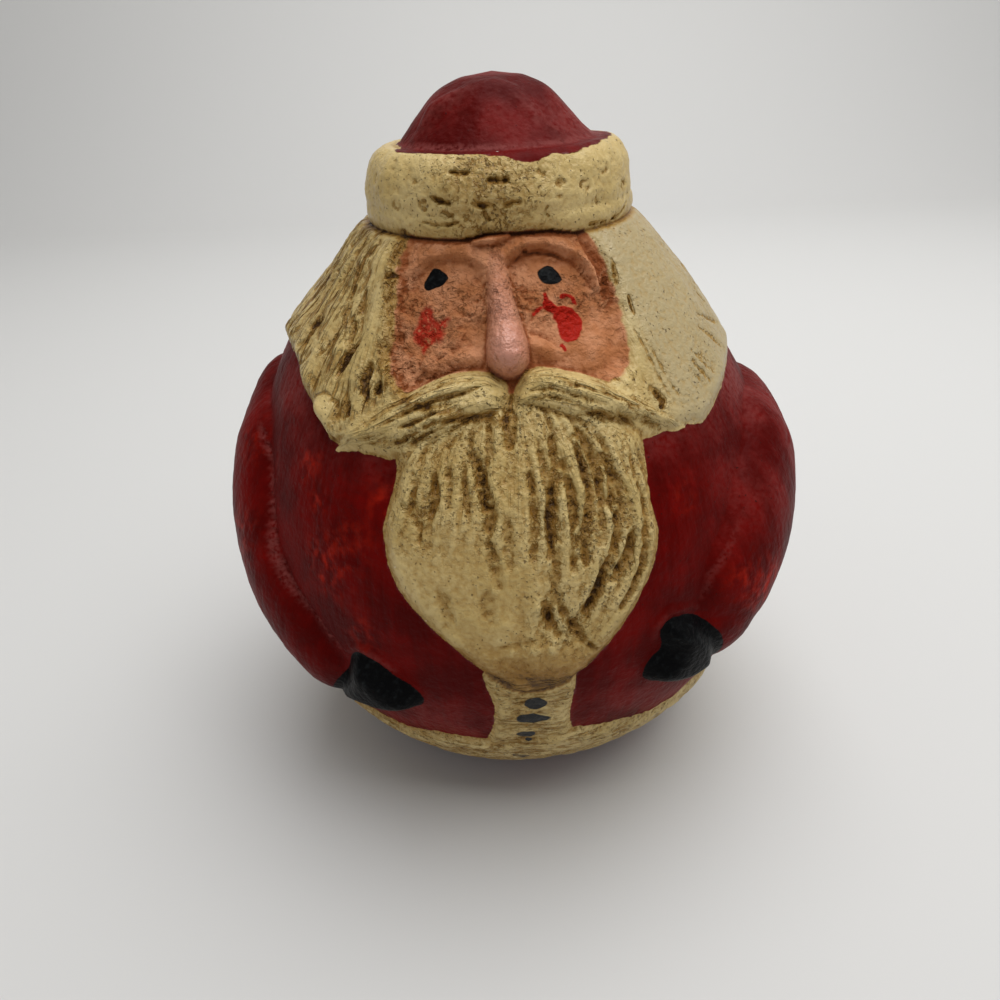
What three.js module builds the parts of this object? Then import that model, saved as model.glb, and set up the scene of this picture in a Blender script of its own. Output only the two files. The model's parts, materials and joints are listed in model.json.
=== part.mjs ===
// A folk santa figurine, modelled by hand in one piece: a ball for the body, a cone for the head
// and hair, a rolled hat band and a small domed cap. Everything on it stands out of, or is pressed
// into, that one surface. Millimetres, +Z up, front towards -Y. An azimuth is in degrees from the
// front middle and grows towards +X, which is the viewer's right.

import * as THREE from "three";

const DEGREE = Math.PI / 180;

// Driving sizes of the plain figure under the relief
const TOP_Z = 175;
const BALL_RADIUS = 70.5;
const BALL_CENTRE_Z = 66;
const BALL_DEPTH_BELOW = 73.5;
const FOOT_RADIUS = 27;
const FOOT_EDGE_Z = 3;
const CONE_START_Z = 106.5;
const CAP_START_Z = 149;
const CAP_POINTEDNESS = 0.7;
const HEAD_OFFSET_X = -1.5;

// How far each thing stands out of the plain figure, below zero where it is pressed in
const ARM_RISE = 7.2;
const MITTEN_RISE = 5;
const HEM_RISE = 2;
const PLACKET_RISE = 1.2;
const BEARD_RISE = 3.2;
const MOUSTACHE_RISE = 5;
const LEFT_HAIR_RISE = 2.6;
const RIGHT_HAIR_RISE = 1.5;
const HAT_BAND_RISE = 2.6;
const FACE_DEPTH = -1.6;
const EYE_SOCKET_DEPTH = -1.6;
const BROW_RISE = 1.6;
const NOSE_RISE = 8;
const NOSTRIL_RISE = 2.6;

// Heights that several things share
const HEM_BOTTOM_Z = 13;
const HEM_TOP_Z = 33;
const HEM_TILT = 1;
const HAT_BAND_BOTTOM_Z = 145;
const HAT_BAND_TOP_Z = 160.5;

// Edges of the flat-topped things, as [azimuth, z] round each one
const BEARD_EDGE = [
  [-26, 107], [-22.5, 101], [-24, 93], [-22, 82], [-17.5, 74], [-9, 65], [1, 57],
  [10, 63.5], [17, 72.5], [23, 81], [26, 90], [25, 100], [29, 107], [0, 118],
];
const LEFT_MOUSTACHE_EDGE = [
  [0, 119], [-4, 121.5], [-13, 121.5], [-22, 118.5], [-30, 113.5], [-39, 105.5],
  [-40, 103], [-32, 105], [-22, 105.5], [-15, 108.5], [-9, 111.5], [-1, 114],
];
const RIGHT_MOUSTACHE_EDGE = [
  [1, 118], [6, 122], [13, 121.5], [23, 118.5], [32, 113], [39, 108],
  [41, 105.5], [36, 105.3], [25, 108.3], [14, 110.8], [5, 114], [1, 114.5],
];
const FACE_EDGE = [
  [-37, 148], [-36.5, 142], [-34, 136], [-31.5, 127], [-31, 119], [-20, 116],
  [0, 114], [20, 116], [31, 119], [34, 125], [37, 134], [36, 141], [29, 148],
];
const LEFT_MITTEN_EDGE = [
  [-31, 60], [-27, 59.5], [-24, 56], [-21.5, 55.5], [-19, 52.5], [-20, 48.5],
  [-25, 44], [-32, 42.5], [-42, 41], [-40, 46], [-36, 52], [-33.5, 58],
];
const RIGHT_MITTEN_EDGE = [
  [28, 70], [33, 68.5], [40, 62], [44, 54.5], [43, 48], [35, 46.5],
  [27, 49], [23, 53], [24, 58.5], [27, 63], [26.5, 67],
];
const PLACKET_EDGE = [
  [-6, 62], [-5, 50], [-5.5, 42], [-7, 30], [10, 30], [9.5, 45], [9, 62],
];

// Ridges that follow a line, as [azimuth, z, half width, share of the rise] along each one
const LEFT_ARM = [
  [-92, 96, 14, 0.8], [-80, 87, 18, 1], [-74, 76, 18, 1], [-64, 63, 17, 0.95],
  [-52, 53, 13.5, 0.85], [-46, 48, 11, 0.75],
];
const RIGHT_ARM = [
  [88, 92, 13, 0.75], [73, 87, 17.5, 1], [62, 77, 20, 1], [51, 67, 19, 0.95], [46, 59, 13.5, 0.8],
];
const NOSE = [
  [-1, 142, 2.4, 0.28], [-0.5, 135, 3, 0.5], [0, 128, 4.4, 0.85], [0, 124.5, 5.2, 1],
];
const LEFT_BROW = [
  [-34, 138.5, 2, 0.7], [-28, 141.3, 2.2, 1], [-16, 142.3, 2.2, 1], [-5, 140.3, 2.2, 0.8],
];
const RIGHT_BROW = [
  [2, 141.5, 2.2, 0.8], [11, 143.5, 2.2, 1], [21, 142.8, 2, 1], [28, 139.5, 2, 1],
  [31, 134.5, 1.6, 0.8],
];
const LEFT_SOCKET = [[-27, 137.5, 3.5, 1], [-12, 136, 4, 1]];
const RIGHT_SOCKET = [[8, 138, 4, 1], [23, 137.5, 3.6, 1]];
const LEFT_NOSTRIL = [[-10, 123.5, 3.6, 1], [-8, 125, 3, 1]];
const RIGHT_NOSTRIL = [[9, 125.5, 3.2, 1], [11.5, 124, 3, 0.9]];
const HAIR_ROLL = [[-42, 144, 4.5, 1], [-36, 120, 4.5, 0.8]];
const LEFT_CUFF = [[-36, 60, 1.8, 1], [-30, 62.5, 2, 1], [-24, 58.5, 1.6, 0.5]];
const RIGHT_CUFF = [[37, 70, 1.6, 1], [30, 72.5, 2, 1], [25, 68.5, 1.6, 0.6]];

// Places where the figure is fuller than a true ball and cone
const FULL_PLACES = [
  { azimuth: -88, z: 114, reach: 40, reachZ: 15, rise: 4.4 },
  { azimuth: 88, z: 122, reach: 40, reachZ: 20, rise: 1.9 },
  { azimuth: 80, z: 159, reach: 35, reachZ: 4, rise: 1.6 },
];

// Rings of points up the figure. In each zone they share one set of steps, close together over the
// front and wide apart behind, and the front ones bend with the edges of the beard and the face.
const ZONES = [
  { toZ: 12, rings: 4, frontSteps: 12, sideSteps: 5, backSteps: 8 },
  { toZ: 40, rings: 8, frontSteps: 30, sideSteps: 8, backSteps: 8 },
  { toZ: 106, rings: 29, frontSteps: 42, sideSteps: 13, backSteps: 8 },
  { toZ: 145, rings: 26, frontSteps: 44, sideSteps: 8, backSteps: 7 },
  { toZ: 161, rings: 8, frontSteps: 20, sideSteps: 6, backSteps: 7 },
  { toZ: 174, rings: 7, frontSteps: 12, sideSteps: 4, backSteps: 6 },
];
const FRONT_END = 48;
const SIDES_END = 100;

// Azimuths of the middle panel's two edges: placket, then beard, moustache and face
const PANEL_EDGES = [
  [0, -12, 12], [20, -9, 11], [30, -7, 10], [42, -5.5, 9.5], [60, -5, 9], [65, -9, 11.2],
  [74, -17.5, 18.3], [82, -22, 23.5], [92, -24, 26], [101, -22.5, 25], [108, -27, 30],
  [119, -31, 31], [127, -31.5, 35], [136, -34, 37], [145, -36.5, 34], [150, -34, 34], [176, -34, 34],
];

const clamp = THREE.MathUtils.clamp;
const smoothstep = THREE.MathUtils.smoothstep;
const lerp = THREE.MathUtils.lerp;

// Radius of the plain figure at a height: ball, then the cone that leaves it at a tangent, then cap.
function plainRadius(z) {
  if (z < FOOT_EDGE_Z) {
    return lerp(FOOT_RADIUS, ballRadius(FOOT_EDGE_Z), z / FOOT_EDGE_Z);
  }
  if (z < CONE_START_Z) return ballRadius(z);
  if (z < CAP_START_Z) return coneRadius(z);
  const share = (z - CAP_START_Z) / (TOP_Z - CAP_START_Z);
  return coneRadius(CAP_START_Z) * (1 - share ** 2) ** CAP_POINTEDNESS;
}

function ballRadius(z) {
  const depth = z < BALL_CENTRE_Z ? BALL_DEPTH_BELOW : BALL_RADIUS;
  return BALL_RADIUS * Math.sqrt(1 - ((z - BALL_CENTRE_Z) / depth) ** 2);
}

function coneRadius(z) {
  const slope = (CONE_START_Z - BALL_CENTRE_Z) / ballRadius(CONE_START_Z);
  return ballRadius(CONE_START_Z) - slope * (z - CONE_START_Z);
}

// Elevation in degrees of the direction that the relief stands out in.
function outwardElevation(z) {
  if (z < CONE_START_Z) {
    return Math.asin((z - BALL_CENTRE_Z) / BALL_DEPTH_BELOW) / DEGREE;
  }
  const cone = Math.asin((CONE_START_Z - BALL_CENTRE_Z) / BALL_DEPTH_BELOW) / DEGREE;
  const underBand = lerp(cone, 12, smoothstep(z, 138, 150));
  return lerp(underBand, 90, smoothstep(z, 154, TOP_Z + 3));
}

// Length of the plain figure's outline from the floor up to a height, from a table of short steps.
const STEP = 0.5;
const OUTLINE_LENGTH = [0];
for (let z = STEP; z <= TOP_Z; z += STEP) {
  const rise = Math.hypot(STEP, plainRadius(z) - plainRadius(z - STEP));
  OUTLINE_LENGTH.push(OUTLINE_LENGTH.at(-1) + rise);
}

function lengthUpTo(z) {
  const place = clamp(z / STEP, 0, OUTLINE_LENGTH.length - 1.001);
  const row = Math.floor(place);
  return lerp(OUTLINE_LENGTH[row], OUTLINE_LENGTH[row + 1], place - row);
}

// A smooth closed edge through a few hand-placed corners.
function smoothEdge(corners) {
  const points = corners.map(([azimuth, z]) => new THREE.Vector3(azimuth, z, 0));
  const curve = new THREE.CatmullRomCurve3(points, true, "centripetal");
  return curve.getPoints(corners.length * 4).map((point) => [point.x, point.y]);
}

// Offset in millimetres over the surface from a spot to a place given as azimuth and height.
function offsetFrom(spot, [azimuth, z]) {
  const across = plainRadius(spot.z) * (azimuth - spot.azimuth) * DEGREE;
  return [across, lengthUpTo(z) - lengthUpTo(spot.z)];
}

// Nearest point on a stretch from one offset to another: its distance and its share of the way.
function nearestOn([x1, y1], [x2, y2]) {
  const [dx, dy] = [x2 - x1, y2 - y1];
  const share = clamp(-(x1 * dx + y1 * dy) / (dx * dx + dy * dy || 1), 0, 1);
  return { share, distance: Math.hypot(x1 + share * dx, y1 + share * dy) };
}

// Distance from a spot to a closed edge, above zero inside it.
function depthInside(spot, edge) {
  let nearest = Infinity;
  let inside = false;
  edge.forEach((corner, index) => {
    const a = offsetFrom(spot, corner);
    const b = offsetFrom(spot, edge[(index + 1) % edge.length]);
    nearest = Math.min(nearest, nearestOn(a, b).distance);
    const crosses = a[1] > 0 !== b[1] > 0;
    if (crosses && a[0] - (a[1] * (b[0] - a[0])) / (b[1] - a[1]) > 0) inside = !inside;
  });
  return inside ? nearest : -nearest;
}

// Height of a rounded ridge that follows a line: half-round across, with round ends.
function ridge(spot, line, roundness = 0.6) {
  let height = 0;
  for (let i = 0; i + 1 < line.length; i += 1) {
    const { share, distance } = nearestOn(offsetFrom(spot, line[i]), offsetFrom(spot, line[i + 1]));
    const halfWidth = lerp(line[i][2], line[i + 1][2], share);
    const rise = lerp(line[i][3], line[i + 1][3], share);
    const across = Math.min(distance / halfWidth, 1);
    height = Math.max(height, rise * (1 - across ** 2) ** roundness);
  }
  return height;
}

// Height of a flat-topped thing at a depth inside its edge, rounded over the given width. It goes
// on falling outside the edge, so that whatever is higher there takes over.
function pillow(depth, roundedWidth) {
  const share = depth / roundedWidth;
  return share < 0 ? 2 * share : Math.sin((Math.PI / 2) * Math.min(share, 1));
}

const beardEdge = smoothEdge(BEARD_EDGE);
const faceEdge = smoothEdge(FACE_EDGE);
const moustacheEdges = [smoothEdge(LEFT_MOUSTACHE_EDGE), smoothEdge(RIGHT_MOUSTACHE_EDGE)];
const mittenEdges = [smoothEdge(LEFT_MITTEN_EDGE), smoothEdge(RIGHT_MITTEN_EDGE)];
const placketEdge = smoothEdge(PLACKET_EDGE);

// The coat: arms, cuffs and mittens pressed on to the ball, and the flat fur trim.
function armRise(spot) {
  return ARM_RISE * Math.max(ridge(spot, LEFT_ARM, 0.7), ridge(spot, RIGHT_ARM, 0.7));
}

function mittenRise(spot) {
  const cuff = 1.6 * Math.max(ridge(spot, LEFT_CUFF), ridge(spot, RIGHT_CUFF));
  const depth = Math.max(...mittenEdges.map((edge) => depthInside(spot, edge)));
  return Math.max(cuff, MITTEN_RISE * pillow(depth, 6));
}

function furTrimRise(spot) {
  const tilt = HEM_TILT * Math.sin(spot.azimuth * DEGREE);
  const intoHem = Math.min(spot.z - HEM_BOTTOM_Z - tilt / 2, HEM_TOP_Z + tilt - spot.z);
  const placket = PLACKET_RISE * pillow(depthInside(spot, placketEdge), 2);
  return Math.max(HEM_RISE * pillow(intoHem, 3), placket);
}

// The beard: flat locks that fan out down the right side and stay shallow on the left.
function beardRise(spot) {
  const depth = depthInside(spot, beardEdge);
  const across = spot.azimuth / lerp(12, 27, smoothstep(spot.z, 58, 88));
  const sway = 0.5 * Math.sin(spot.z / 6);
  const locks = Math.cos(2 * Math.PI * (across * 3.6 + sway * 0.25));
  const strength = 0.3 + 0.5 * smoothstep(across, -0.2, 0.6);
  return (BEARD_RISE + strength * locks * smoothstep(spot.z, 66, 80)) * pillow(depth, 5);
}

// The moustache: a fat lobe to each side, its strands running lengthwise.
function moustacheRise(spot) {
  const depth = Math.max(...moustacheEdges.map((edge) => depthInside(spot, edge)));
  const slope = 0.42 * Math.abs(spot.azimuth);
  const strands = 0.5 * Math.cos((2 * Math.PI * (spot.z + slope)) / 6.5);
  const taper = lerp(1, 0.75, smoothstep(Math.abs(spot.azimuth), 18, 42));
  return (MOUSTACHE_RISE * taper + strands) * pillow(depth, 5);
}

// Height of the hair's lower edge round the head: lowest where it meets the moustache.
function hairEdgeZ(azimuth) {
  const away = Math.abs(azimuth);
  if (azimuth < 0) return 104 + 7 * smoothstep(away, 40, 58) + 4 * smoothstep(away, 58, 75);
  return 104.5 + 5 * smoothstep(away, 41, 58) + 5.5 * smoothstep(away, 58, 120);
}

// The hair: long masses that hang from under the hat band, the left one in thicker strands.
function hairRise(spot) {
  const side = smoothstep(spot.azimuth, -40, 40);
  const rise = lerp(LEFT_HAIR_RISE, RIGHT_HAIR_RISE, side);
  const strandStrength = lerp(0.5, 0.2, side);
  const strands = Math.cos(2 * Math.PI * (spot.azimuth / 9 + 0.3 * Math.sin(spot.z / 9)));
  const depth = spot.z - hairEdgeZ(spot.azimuth);
  const roll = 0.9 * ridge(spot, HAIR_ROLL);
  return (rise + strandStrength * strands) * pillow(depth, 3.5) + roll;
}

// The face: pressed in between the hair, with a brow over each socket and a long straight nose.
function faceRise(spot) {
  const brows = BROW_RISE * Math.max(ridge(spot, LEFT_BROW), ridge(spot, RIGHT_BROW));
  const sockets = Math.max(ridge(spot, LEFT_SOCKET, 1), ridge(spot, RIGHT_SOCKET, 1));
  const nostrils = Math.max(ridge(spot, LEFT_NOSTRIL), ridge(spot, RIGHT_NOSTRIL));
  const features = Math.max(brows, NOSE_RISE * ridge(spot, NOSE), NOSTRIL_RISE * nostrils);
  return FACE_DEPTH + features + (features > 0.5 ? 0 : EYE_SOCKET_DEPTH * sockets);
}

// The hat: a fat roll round the head, and a cap with a few soft flats over it.
function hatRise(spot) {
  const middle = (HAT_BAND_BOTTOM_Z + HAT_BAND_TOP_Z) / 2;
  const across = (spot.z - middle) / (middle - HAT_BAND_BOTTOM_Z + 0.3);
  const front = 1 + 0.2 * Math.cos(spot.azimuth * DEGREE);
  const lumps = 0.25 * Math.sin(5 * spot.azimuth * DEGREE + 1);
  const roll = (HAT_BAND_RISE * front + lumps) * Math.max(0, 1 - across ** 4) ** 0.5;
  const flats = 0.5 * Math.cos(4 * spot.azimuth * DEGREE) * smoothstep(spot.z, 160, 164);
  return roll + flats * (1 - smoothstep(spot.z, 170, 176));
}

// How much fuller the hand-made figure is than a true ball and cone at a spot.
function fullness(spot) {
  let sum = 0;
  for (const { azimuth, z, reach, reachZ, rise } of FULL_PLACES) {
    const across = (spot.azimuth - azimuth) / reach;
    const up = (spot.z - z) / reachZ;
    sum += rise * Math.exp(-(across ** 2) - up ** 2);
  }
  return sum * smoothstep(spot.z, 1, 20);
}

function reliefAt(spot) {
  if (spot.z < 1) return 0;
  if (spot.z > HAT_BAND_BOTTOM_Z) return fullness(spot) + hatRise(spot);
  const coat = Math.max(0, armRise(spot), mittenRise(spot), furTrimRise(spot));
  const inFace = smoothstep(depthInside(spot, faceEdge), -0.8, 0.8);
  const head = lerp(Math.max(coat, hairRise(spot)), faceRise(spot), inFace);
  return fullness(spot) + Math.max(head, moustacheRise(spot), beardRise(spot));
}

// A point of the finished surface.
function surfacePoint(azimuth, z) {
  const relief = reliefAt({ azimuth: azimuth > 180 ? azimuth - 360 : azimuth, z });
  const elevation = outwardElevation(z) * DEGREE;
  const radius = plainRadius(z) + relief * Math.cos(elevation);
  const offsetX = HEAD_OFFSET_X * smoothstep(z, 100, 170);
  return new THREE.Vector3(
    radius * Math.sin(azimuth * DEGREE) + offsetX,
    -radius * Math.cos(azimuth * DEGREE),
    z < 1 ? z : z + relief * Math.sin(elevation),
  );
}

// The middle panel's edge on one side at a height.
function panelEdge(z, side) {
  const above = PANEL_EDGES.findIndex(([edgeZ]) => edgeZ >= z);
  if (above <= 0) return PANEL_EDGES[0][side];
  const [low, high] = [PANEL_EDGES[above - 1], PANEL_EDGES[above]];
  return lerp(low[side], high[side], (z - low[0]) / (high[0] - low[0]));
}

// Azimuths of a ring at a height, from the left side over the front and round the back.
function ringAzimuths({ frontSteps, sideSteps, backSteps }, z) {
  const outer = Math.round(frontSteps / 4);
  const inner = Math.round(frontSteps / 2) - outer;
  const stretches = [
    [-SIDES_END, -FRONT_END, sideSteps],
    [-FRONT_END, panelEdge(z, 1), outer],
    [panelEdge(z, 1), 0, inner],
    [0, panelEdge(z, 2), inner],
    [panelEdge(z, 2), FRONT_END, outer],
    [FRONT_END, SIDES_END, sideSteps],
    [SIDES_END, 360 - SIDES_END, backSteps],
  ];
  const azimuths = [];
  for (const [from, to, steps] of stretches) {
    for (let i = 0; i < steps; i += 1) azimuths.push(lerp(from, to, i / steps));
  }
  return azimuths;
}

// Every ring of the figure, from the foot's edge to just under the top.
function makeRings() {
  const rings = [];
  let fromZ = 0;
  for (const zone of ZONES) {
    for (let i = 0; i < zone.rings; i += 1) {
      const length = lerp(lengthUpTo(fromZ), lengthUpTo(zone.toZ), i / zone.rings);
      const z = heightAtLength(length);
      const azimuths = ringAzimuths(zone, z);
      rings.push({ azimuths, points: azimuths.map((azimuth) => surfacePoint(azimuth, z)) });
    }
    fromZ = zone.toZ;
  }
  return rings;
}

function heightAtLength(length) {
  const row = OUTLINE_LENGTH.findIndex((reached) => reached >= length);
  return row <= 0 ? 0 : lerp(row - 1, row, (length - OUTLINE_LENGTH[row - 1]) /
    (OUTLINE_LENGTH[row] - OUTLINE_LENGTH[row - 1])) * STEP;
}

// Triangles between two rings, which may have different azimuths: it steps round whichever ring
// is further behind.
function joinRings(lower, upper, addTriangle) {
  const [m, n] = [lower.azimuths.length, upper.azimuths.length];
  const at = (ring, index, count) => ring.azimuths[index % count] + (index >= count ? 360 : 0);
  let [i, j] = [0, 0];
  while (i < m || j < n) {
    const stepLower = j >= n || (i < m && at(lower, i + 1, m) <= at(upper, j + 1, n));
    if (stepLower) {
      addTriangle(lower.points[i % m], lower.points[(i + 1) % m], upper.points[j % n]);
      i += 1;
    } else {
      addTriangle(lower.points[i % m], upper.points[(j + 1) % n], upper.points[j % n]);
      j += 1;
    }
  }
}

// The closed surface of the whole figure: foot, rings and top.
function makeFigure() {
  const positions = [];
  const addTriangle = (a, b, c) => positions.push(...a.toArray(), ...b.toArray(), ...c.toArray());
  const rings = makeRings();
  const foot = new THREE.Vector3(0, 0, 0);
  const top = surfacePoint(0, TOP_Z);
  const [first, last] = [rings[0].points, rings.at(-1).points];
  first.forEach((point, i) => addTriangle(foot, first[(i + 1) % first.length], point));
  for (let i = 0; i + 1 < rings.length; i += 1) joinRings(rings[i], rings[i + 1], addTriangle);
  last.forEach((point, i) => addTriangle(point, last[(i + 1) % last.length], top));

  const geometry = new THREE.BufferGeometry();
  geometry.setAttribute("position", new THREE.Float32BufferAttribute(positions, 3));
  geometry.computeVertexNormals();
  return geometry;
}

const coatRed = new THREE.MeshStandardMaterial({ color: 0x7a1d1c, roughness: 0.45, metalness: 0 });
const figure = new THREE.Mesh(makeFigure(), coatRed);
figure.name = "santa_figure";

const part = new THREE.Group();
part.add(figure);

export default part;
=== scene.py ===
# %% [markdown]
# # A folk santa figurine, modelled by hand and painted
#
# The real figurine is one lump of clay. A maker rolled a ball for the body, drew it up into a cone
# for the head, and pressed arms, mittens, hair, beard and a rolled hat band into it. Then came a
# pointed tool for the strands, and paint: red, cream with a brown wash, skin pink and black.
#
# It could be sculpted with Blender's brushes. Here numpy functions work out every form instead, so
# that each one can be read, measured and changed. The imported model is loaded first, because it
# fixes the place and the size of everything that follows.

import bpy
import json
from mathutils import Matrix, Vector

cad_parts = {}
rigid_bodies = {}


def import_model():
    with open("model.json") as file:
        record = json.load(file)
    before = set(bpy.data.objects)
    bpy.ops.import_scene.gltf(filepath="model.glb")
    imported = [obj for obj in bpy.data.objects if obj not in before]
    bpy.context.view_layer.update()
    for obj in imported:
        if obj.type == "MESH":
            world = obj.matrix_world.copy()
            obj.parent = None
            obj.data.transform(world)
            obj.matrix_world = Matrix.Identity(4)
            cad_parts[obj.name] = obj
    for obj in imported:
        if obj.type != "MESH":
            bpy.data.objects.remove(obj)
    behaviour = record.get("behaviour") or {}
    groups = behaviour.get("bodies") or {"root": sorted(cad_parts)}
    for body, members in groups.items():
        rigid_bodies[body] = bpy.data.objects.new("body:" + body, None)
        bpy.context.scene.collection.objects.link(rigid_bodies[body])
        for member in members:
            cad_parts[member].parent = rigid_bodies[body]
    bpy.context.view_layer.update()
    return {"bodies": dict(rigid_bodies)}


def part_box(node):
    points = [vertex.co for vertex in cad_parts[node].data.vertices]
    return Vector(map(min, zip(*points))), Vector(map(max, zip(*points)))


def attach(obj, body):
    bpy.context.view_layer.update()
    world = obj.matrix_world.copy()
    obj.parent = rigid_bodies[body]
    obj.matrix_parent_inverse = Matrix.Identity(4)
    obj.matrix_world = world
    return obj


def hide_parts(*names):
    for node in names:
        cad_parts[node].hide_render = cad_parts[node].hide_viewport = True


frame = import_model()

# %% Tools and units
import itertools
import json
import math

import bpy
import numpy as np
from mathutils import Matrix, Vector

MM = 0.001
NODE = "santa_figure"

# %% [markdown]
# ## The camera
#
# The figurine is looked down on from close by, so the cap is small, the belly bulges and the foot
# is hidden. The place and the angles came from fitting the ball's outline. A close camera with a
# short lens is what gives that bulge: a long lens from further off would flatten it.

# %% The camera, close and 30 degrees above
CAMERA_AT = Vector((0, -203.1, 181.35)) * MM
PITCH_DOWN = math.radians(30)
YAW_LEFT = math.radians(1.12)
ROLL = math.radians(2.6)
SENSOR_MM = 36
LENS_MM = 28.8


def aim_camera(camera):
    """Turns the camera down, a little left, and then about its own line of sight."""
    across = Vector((math.cos(YAW_LEFT), math.sin(YAW_LEFT), 0))
    level = Vector((-math.sin(YAW_LEFT), math.cos(YAW_LEFT), 0))
    forward = level * math.cos(PITCH_DOWN) - Vector((0, 0, math.sin(PITCH_DOWN)))
    up = across.cross(forward)
    right = across * math.cos(ROLL) - up * math.sin(ROLL)
    rolled_up = across * math.sin(ROLL) + up * math.cos(ROLL)
    turn = Matrix((right, rolled_up, -forward)).transposed()
    camera.matrix_world = Matrix.Translation(CAMERA_AT) @ turn.to_4x4()


camera_data = bpy.data.cameras.new("camera")
camera_data.sensor_width = SENSOR_MM
camera_data.lens = LENS_MM
camera_data.clip_start = 0.01
camera = bpy.data.objects.new("camera", camera_data)
bpy.context.scene.collection.objects.link(camera)
aim_camera(camera)
bpy.context.scene.camera = camera
print("camera", round(CAMERA_AT.length, 3), "m from the foot")

# %% [markdown]
# ## Floor and light
#
# The floor is a pale sheet that curves up behind, as photographers use, so that no horizon line
# cuts across the picture. The light is one big soft panel overhead, a weaker one turned to the
# sheet behind, and a dim surrounding. A small lamp would give hard shadows and sharp glints, and
# this paint shows neither.

# %% A pale sheet that curves up behind
SWEEP_HALF_WIDTH = 1.6
SWEEP_FRONT = -1.4
SWEEP_BACK = 0.75
SWEEP_BEND = 0.35
SWEEP_HEIGHT = 1.6
BEND_STEPS = 24
SHEET_COLOUR = (0.66, 0.655, 0.64, 1)
SHEET_ROUGHNESS = 0.7


def sweep_outline():
    """Floor, quarter-round bend and wall, as (y, z) points from front to top."""
    points = [(SWEEP_FRONT, 0), (0, 0)]
    for step in range(BEND_STEPS + 1):
        turn = math.pi / 2 * step / BEND_STEPS
        points.append((SWEEP_BACK + SWEEP_BEND * math.sin(turn), SWEEP_BEND * (1 - math.cos(turn))))
    return points + [(SWEEP_BACK + SWEEP_BEND, SWEEP_HEIGHT)]


def make_sweep():
    outline = sweep_outline()
    points = [(side * SWEEP_HALF_WIDTH, y, z) for y, z in outline for side in (-1, 1)]
    faces = [(2 * i, 2 * i + 1, 2 * i + 3, 2 * i + 2) for i in range(len(outline) - 1)]
    mesh = bpy.data.meshes.new("sweep")
    mesh.from_pydata(points, [], faces)
    mesh.shade_smooth()
    sweep = bpy.data.objects.new("sweep", mesh)
    bpy.context.scene.collection.objects.link(sweep)
    return sweep


def pale_sheet_material():
    material = bpy.data.materials.new("pale_sheet")
    material.use_nodes = True
    shader = material.node_tree.nodes["Principled BSDF"]
    shader.inputs["Base Color"].default_value = SHEET_COLOUR
    shader.inputs["Roughness"].default_value = SHEET_ROUGHNESS
    return material


sweep = make_sweep()
sweep.data.materials.append(pale_sheet_material())
print("sheet", 2 * SWEEP_HALF_WIDTH, "m wide and", SWEEP_HEIGHT, "m high behind")

# %% Two soft panels and a dim surrounding
PANEL_WATTS = 10.6
PANEL_SIZE = 1.1
PANEL_AT = (0.22, 0, 1.02)
BACK_PANEL_WATTS = 2.6
BACK_PANEL_SIZE = 0.7
BACK_PANEL_AT = (0.1, 0.45, 0.95)
FIGURE_MIDDLE = (0, 0, 0.09)
SHEET_MIDDLE = (0.1, 1.1, 0.4)
SURROUND_GREY = 0.33


def soft_panel(name, watts, size, place, target):
    """A square panel that is turned to shine on a target."""
    data = bpy.data.lights.new(name, "AREA")
    data.shape = "SQUARE"
    data.size = size
    data.energy = watts
    panel = bpy.data.objects.new(name, data)
    panel.location = place
    panel.rotation_euler = (Vector(target) - Vector(place)).to_track_quat("-Z", "Y").to_euler()
    bpy.context.scene.collection.objects.link(panel)


soft_panel("panel", PANEL_WATTS, PANEL_SIZE, PANEL_AT, FIGURE_MIDDLE)
soft_panel("back_panel", BACK_PANEL_WATTS, BACK_PANEL_SIZE, BACK_PANEL_AT, SHEET_MIDDLE)

world = bpy.data.worlds.new("surrounding")
world.use_nodes = True
world.node_tree.nodes["Background"].inputs["Color"].default_value = (SURROUND_GREY,) * 3 + (1,)
bpy.context.scene.world = world
bpy.context.scene.view_settings.view_transform = "Standard"
print("panel", PANEL_WATTS, "W over a surrounding of", SURROUND_GREY)

# %% [markdown]
# ## The plain figure
#
# Before anything is pressed into it, the figure is round: a ball, a cone that leaves the ball at a
# tangent, and a domed cap. One function gives its radius at any height. A place on it is then an
# azimuth, in degrees from the front middle towards +X, and a height in millimetres. Everything
# below is placed that way, which is how a maker turns the piece in the hand and works round it.

# %% Radius of the plain figure at a height
TOP_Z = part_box(NODE)[1].z / MM
BALL_RADIUS = 70.5
BALL_CENTRE_Z = 66
BALL_DEPTH_BELOW = 73.5
FOOT_RADIUS = 27
FOOT_EDGE_Z = 3
CONE_START_Z = 106.5
CAP_START_Z = 149
CAP_POINTEDNESS = 0.7
HEAD_OFFSET_X = -1.5


def lerp(low, high, share):
    return low + (high - low) * share


def smoothstep(value, low, high):
    share = np.clip((value - low) / (high - low), 0, 1)
    return share * share * (3 - 2 * share)


def ball_radius(z):
    depth = np.where(z < BALL_CENTRE_Z, BALL_DEPTH_BELOW, BALL_RADIUS)
    return BALL_RADIUS * np.sqrt(np.clip(1 - ((z - BALL_CENTRE_Z) / depth) ** 2, 0, 1))


def cone_radius(z):
    slope = (CONE_START_Z - BALL_CENTRE_Z) / ball_radius(CONE_START_Z)
    return ball_radius(CONE_START_Z) - slope * (z - CONE_START_Z)


def cap_radius(z):
    share = np.clip((z - CAP_START_Z) / (TOP_Z - CAP_START_Z), 0, 1)
    return cone_radius(CAP_START_Z) * (1 - share**2) ** CAP_POINTEDNESS


def plain_radius(z):
    z = np.asarray(z, float)
    foot = lerp(FOOT_RADIUS, ball_radius(FOOT_EDGE_Z), z / FOOT_EDGE_Z)
    low_down = [z < FOOT_EDGE_Z, z < CONE_START_Z, z < CAP_START_Z]
    return np.select(low_down, [foot, ball_radius(z), cone_radius(z)], cap_radius(z))


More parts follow.
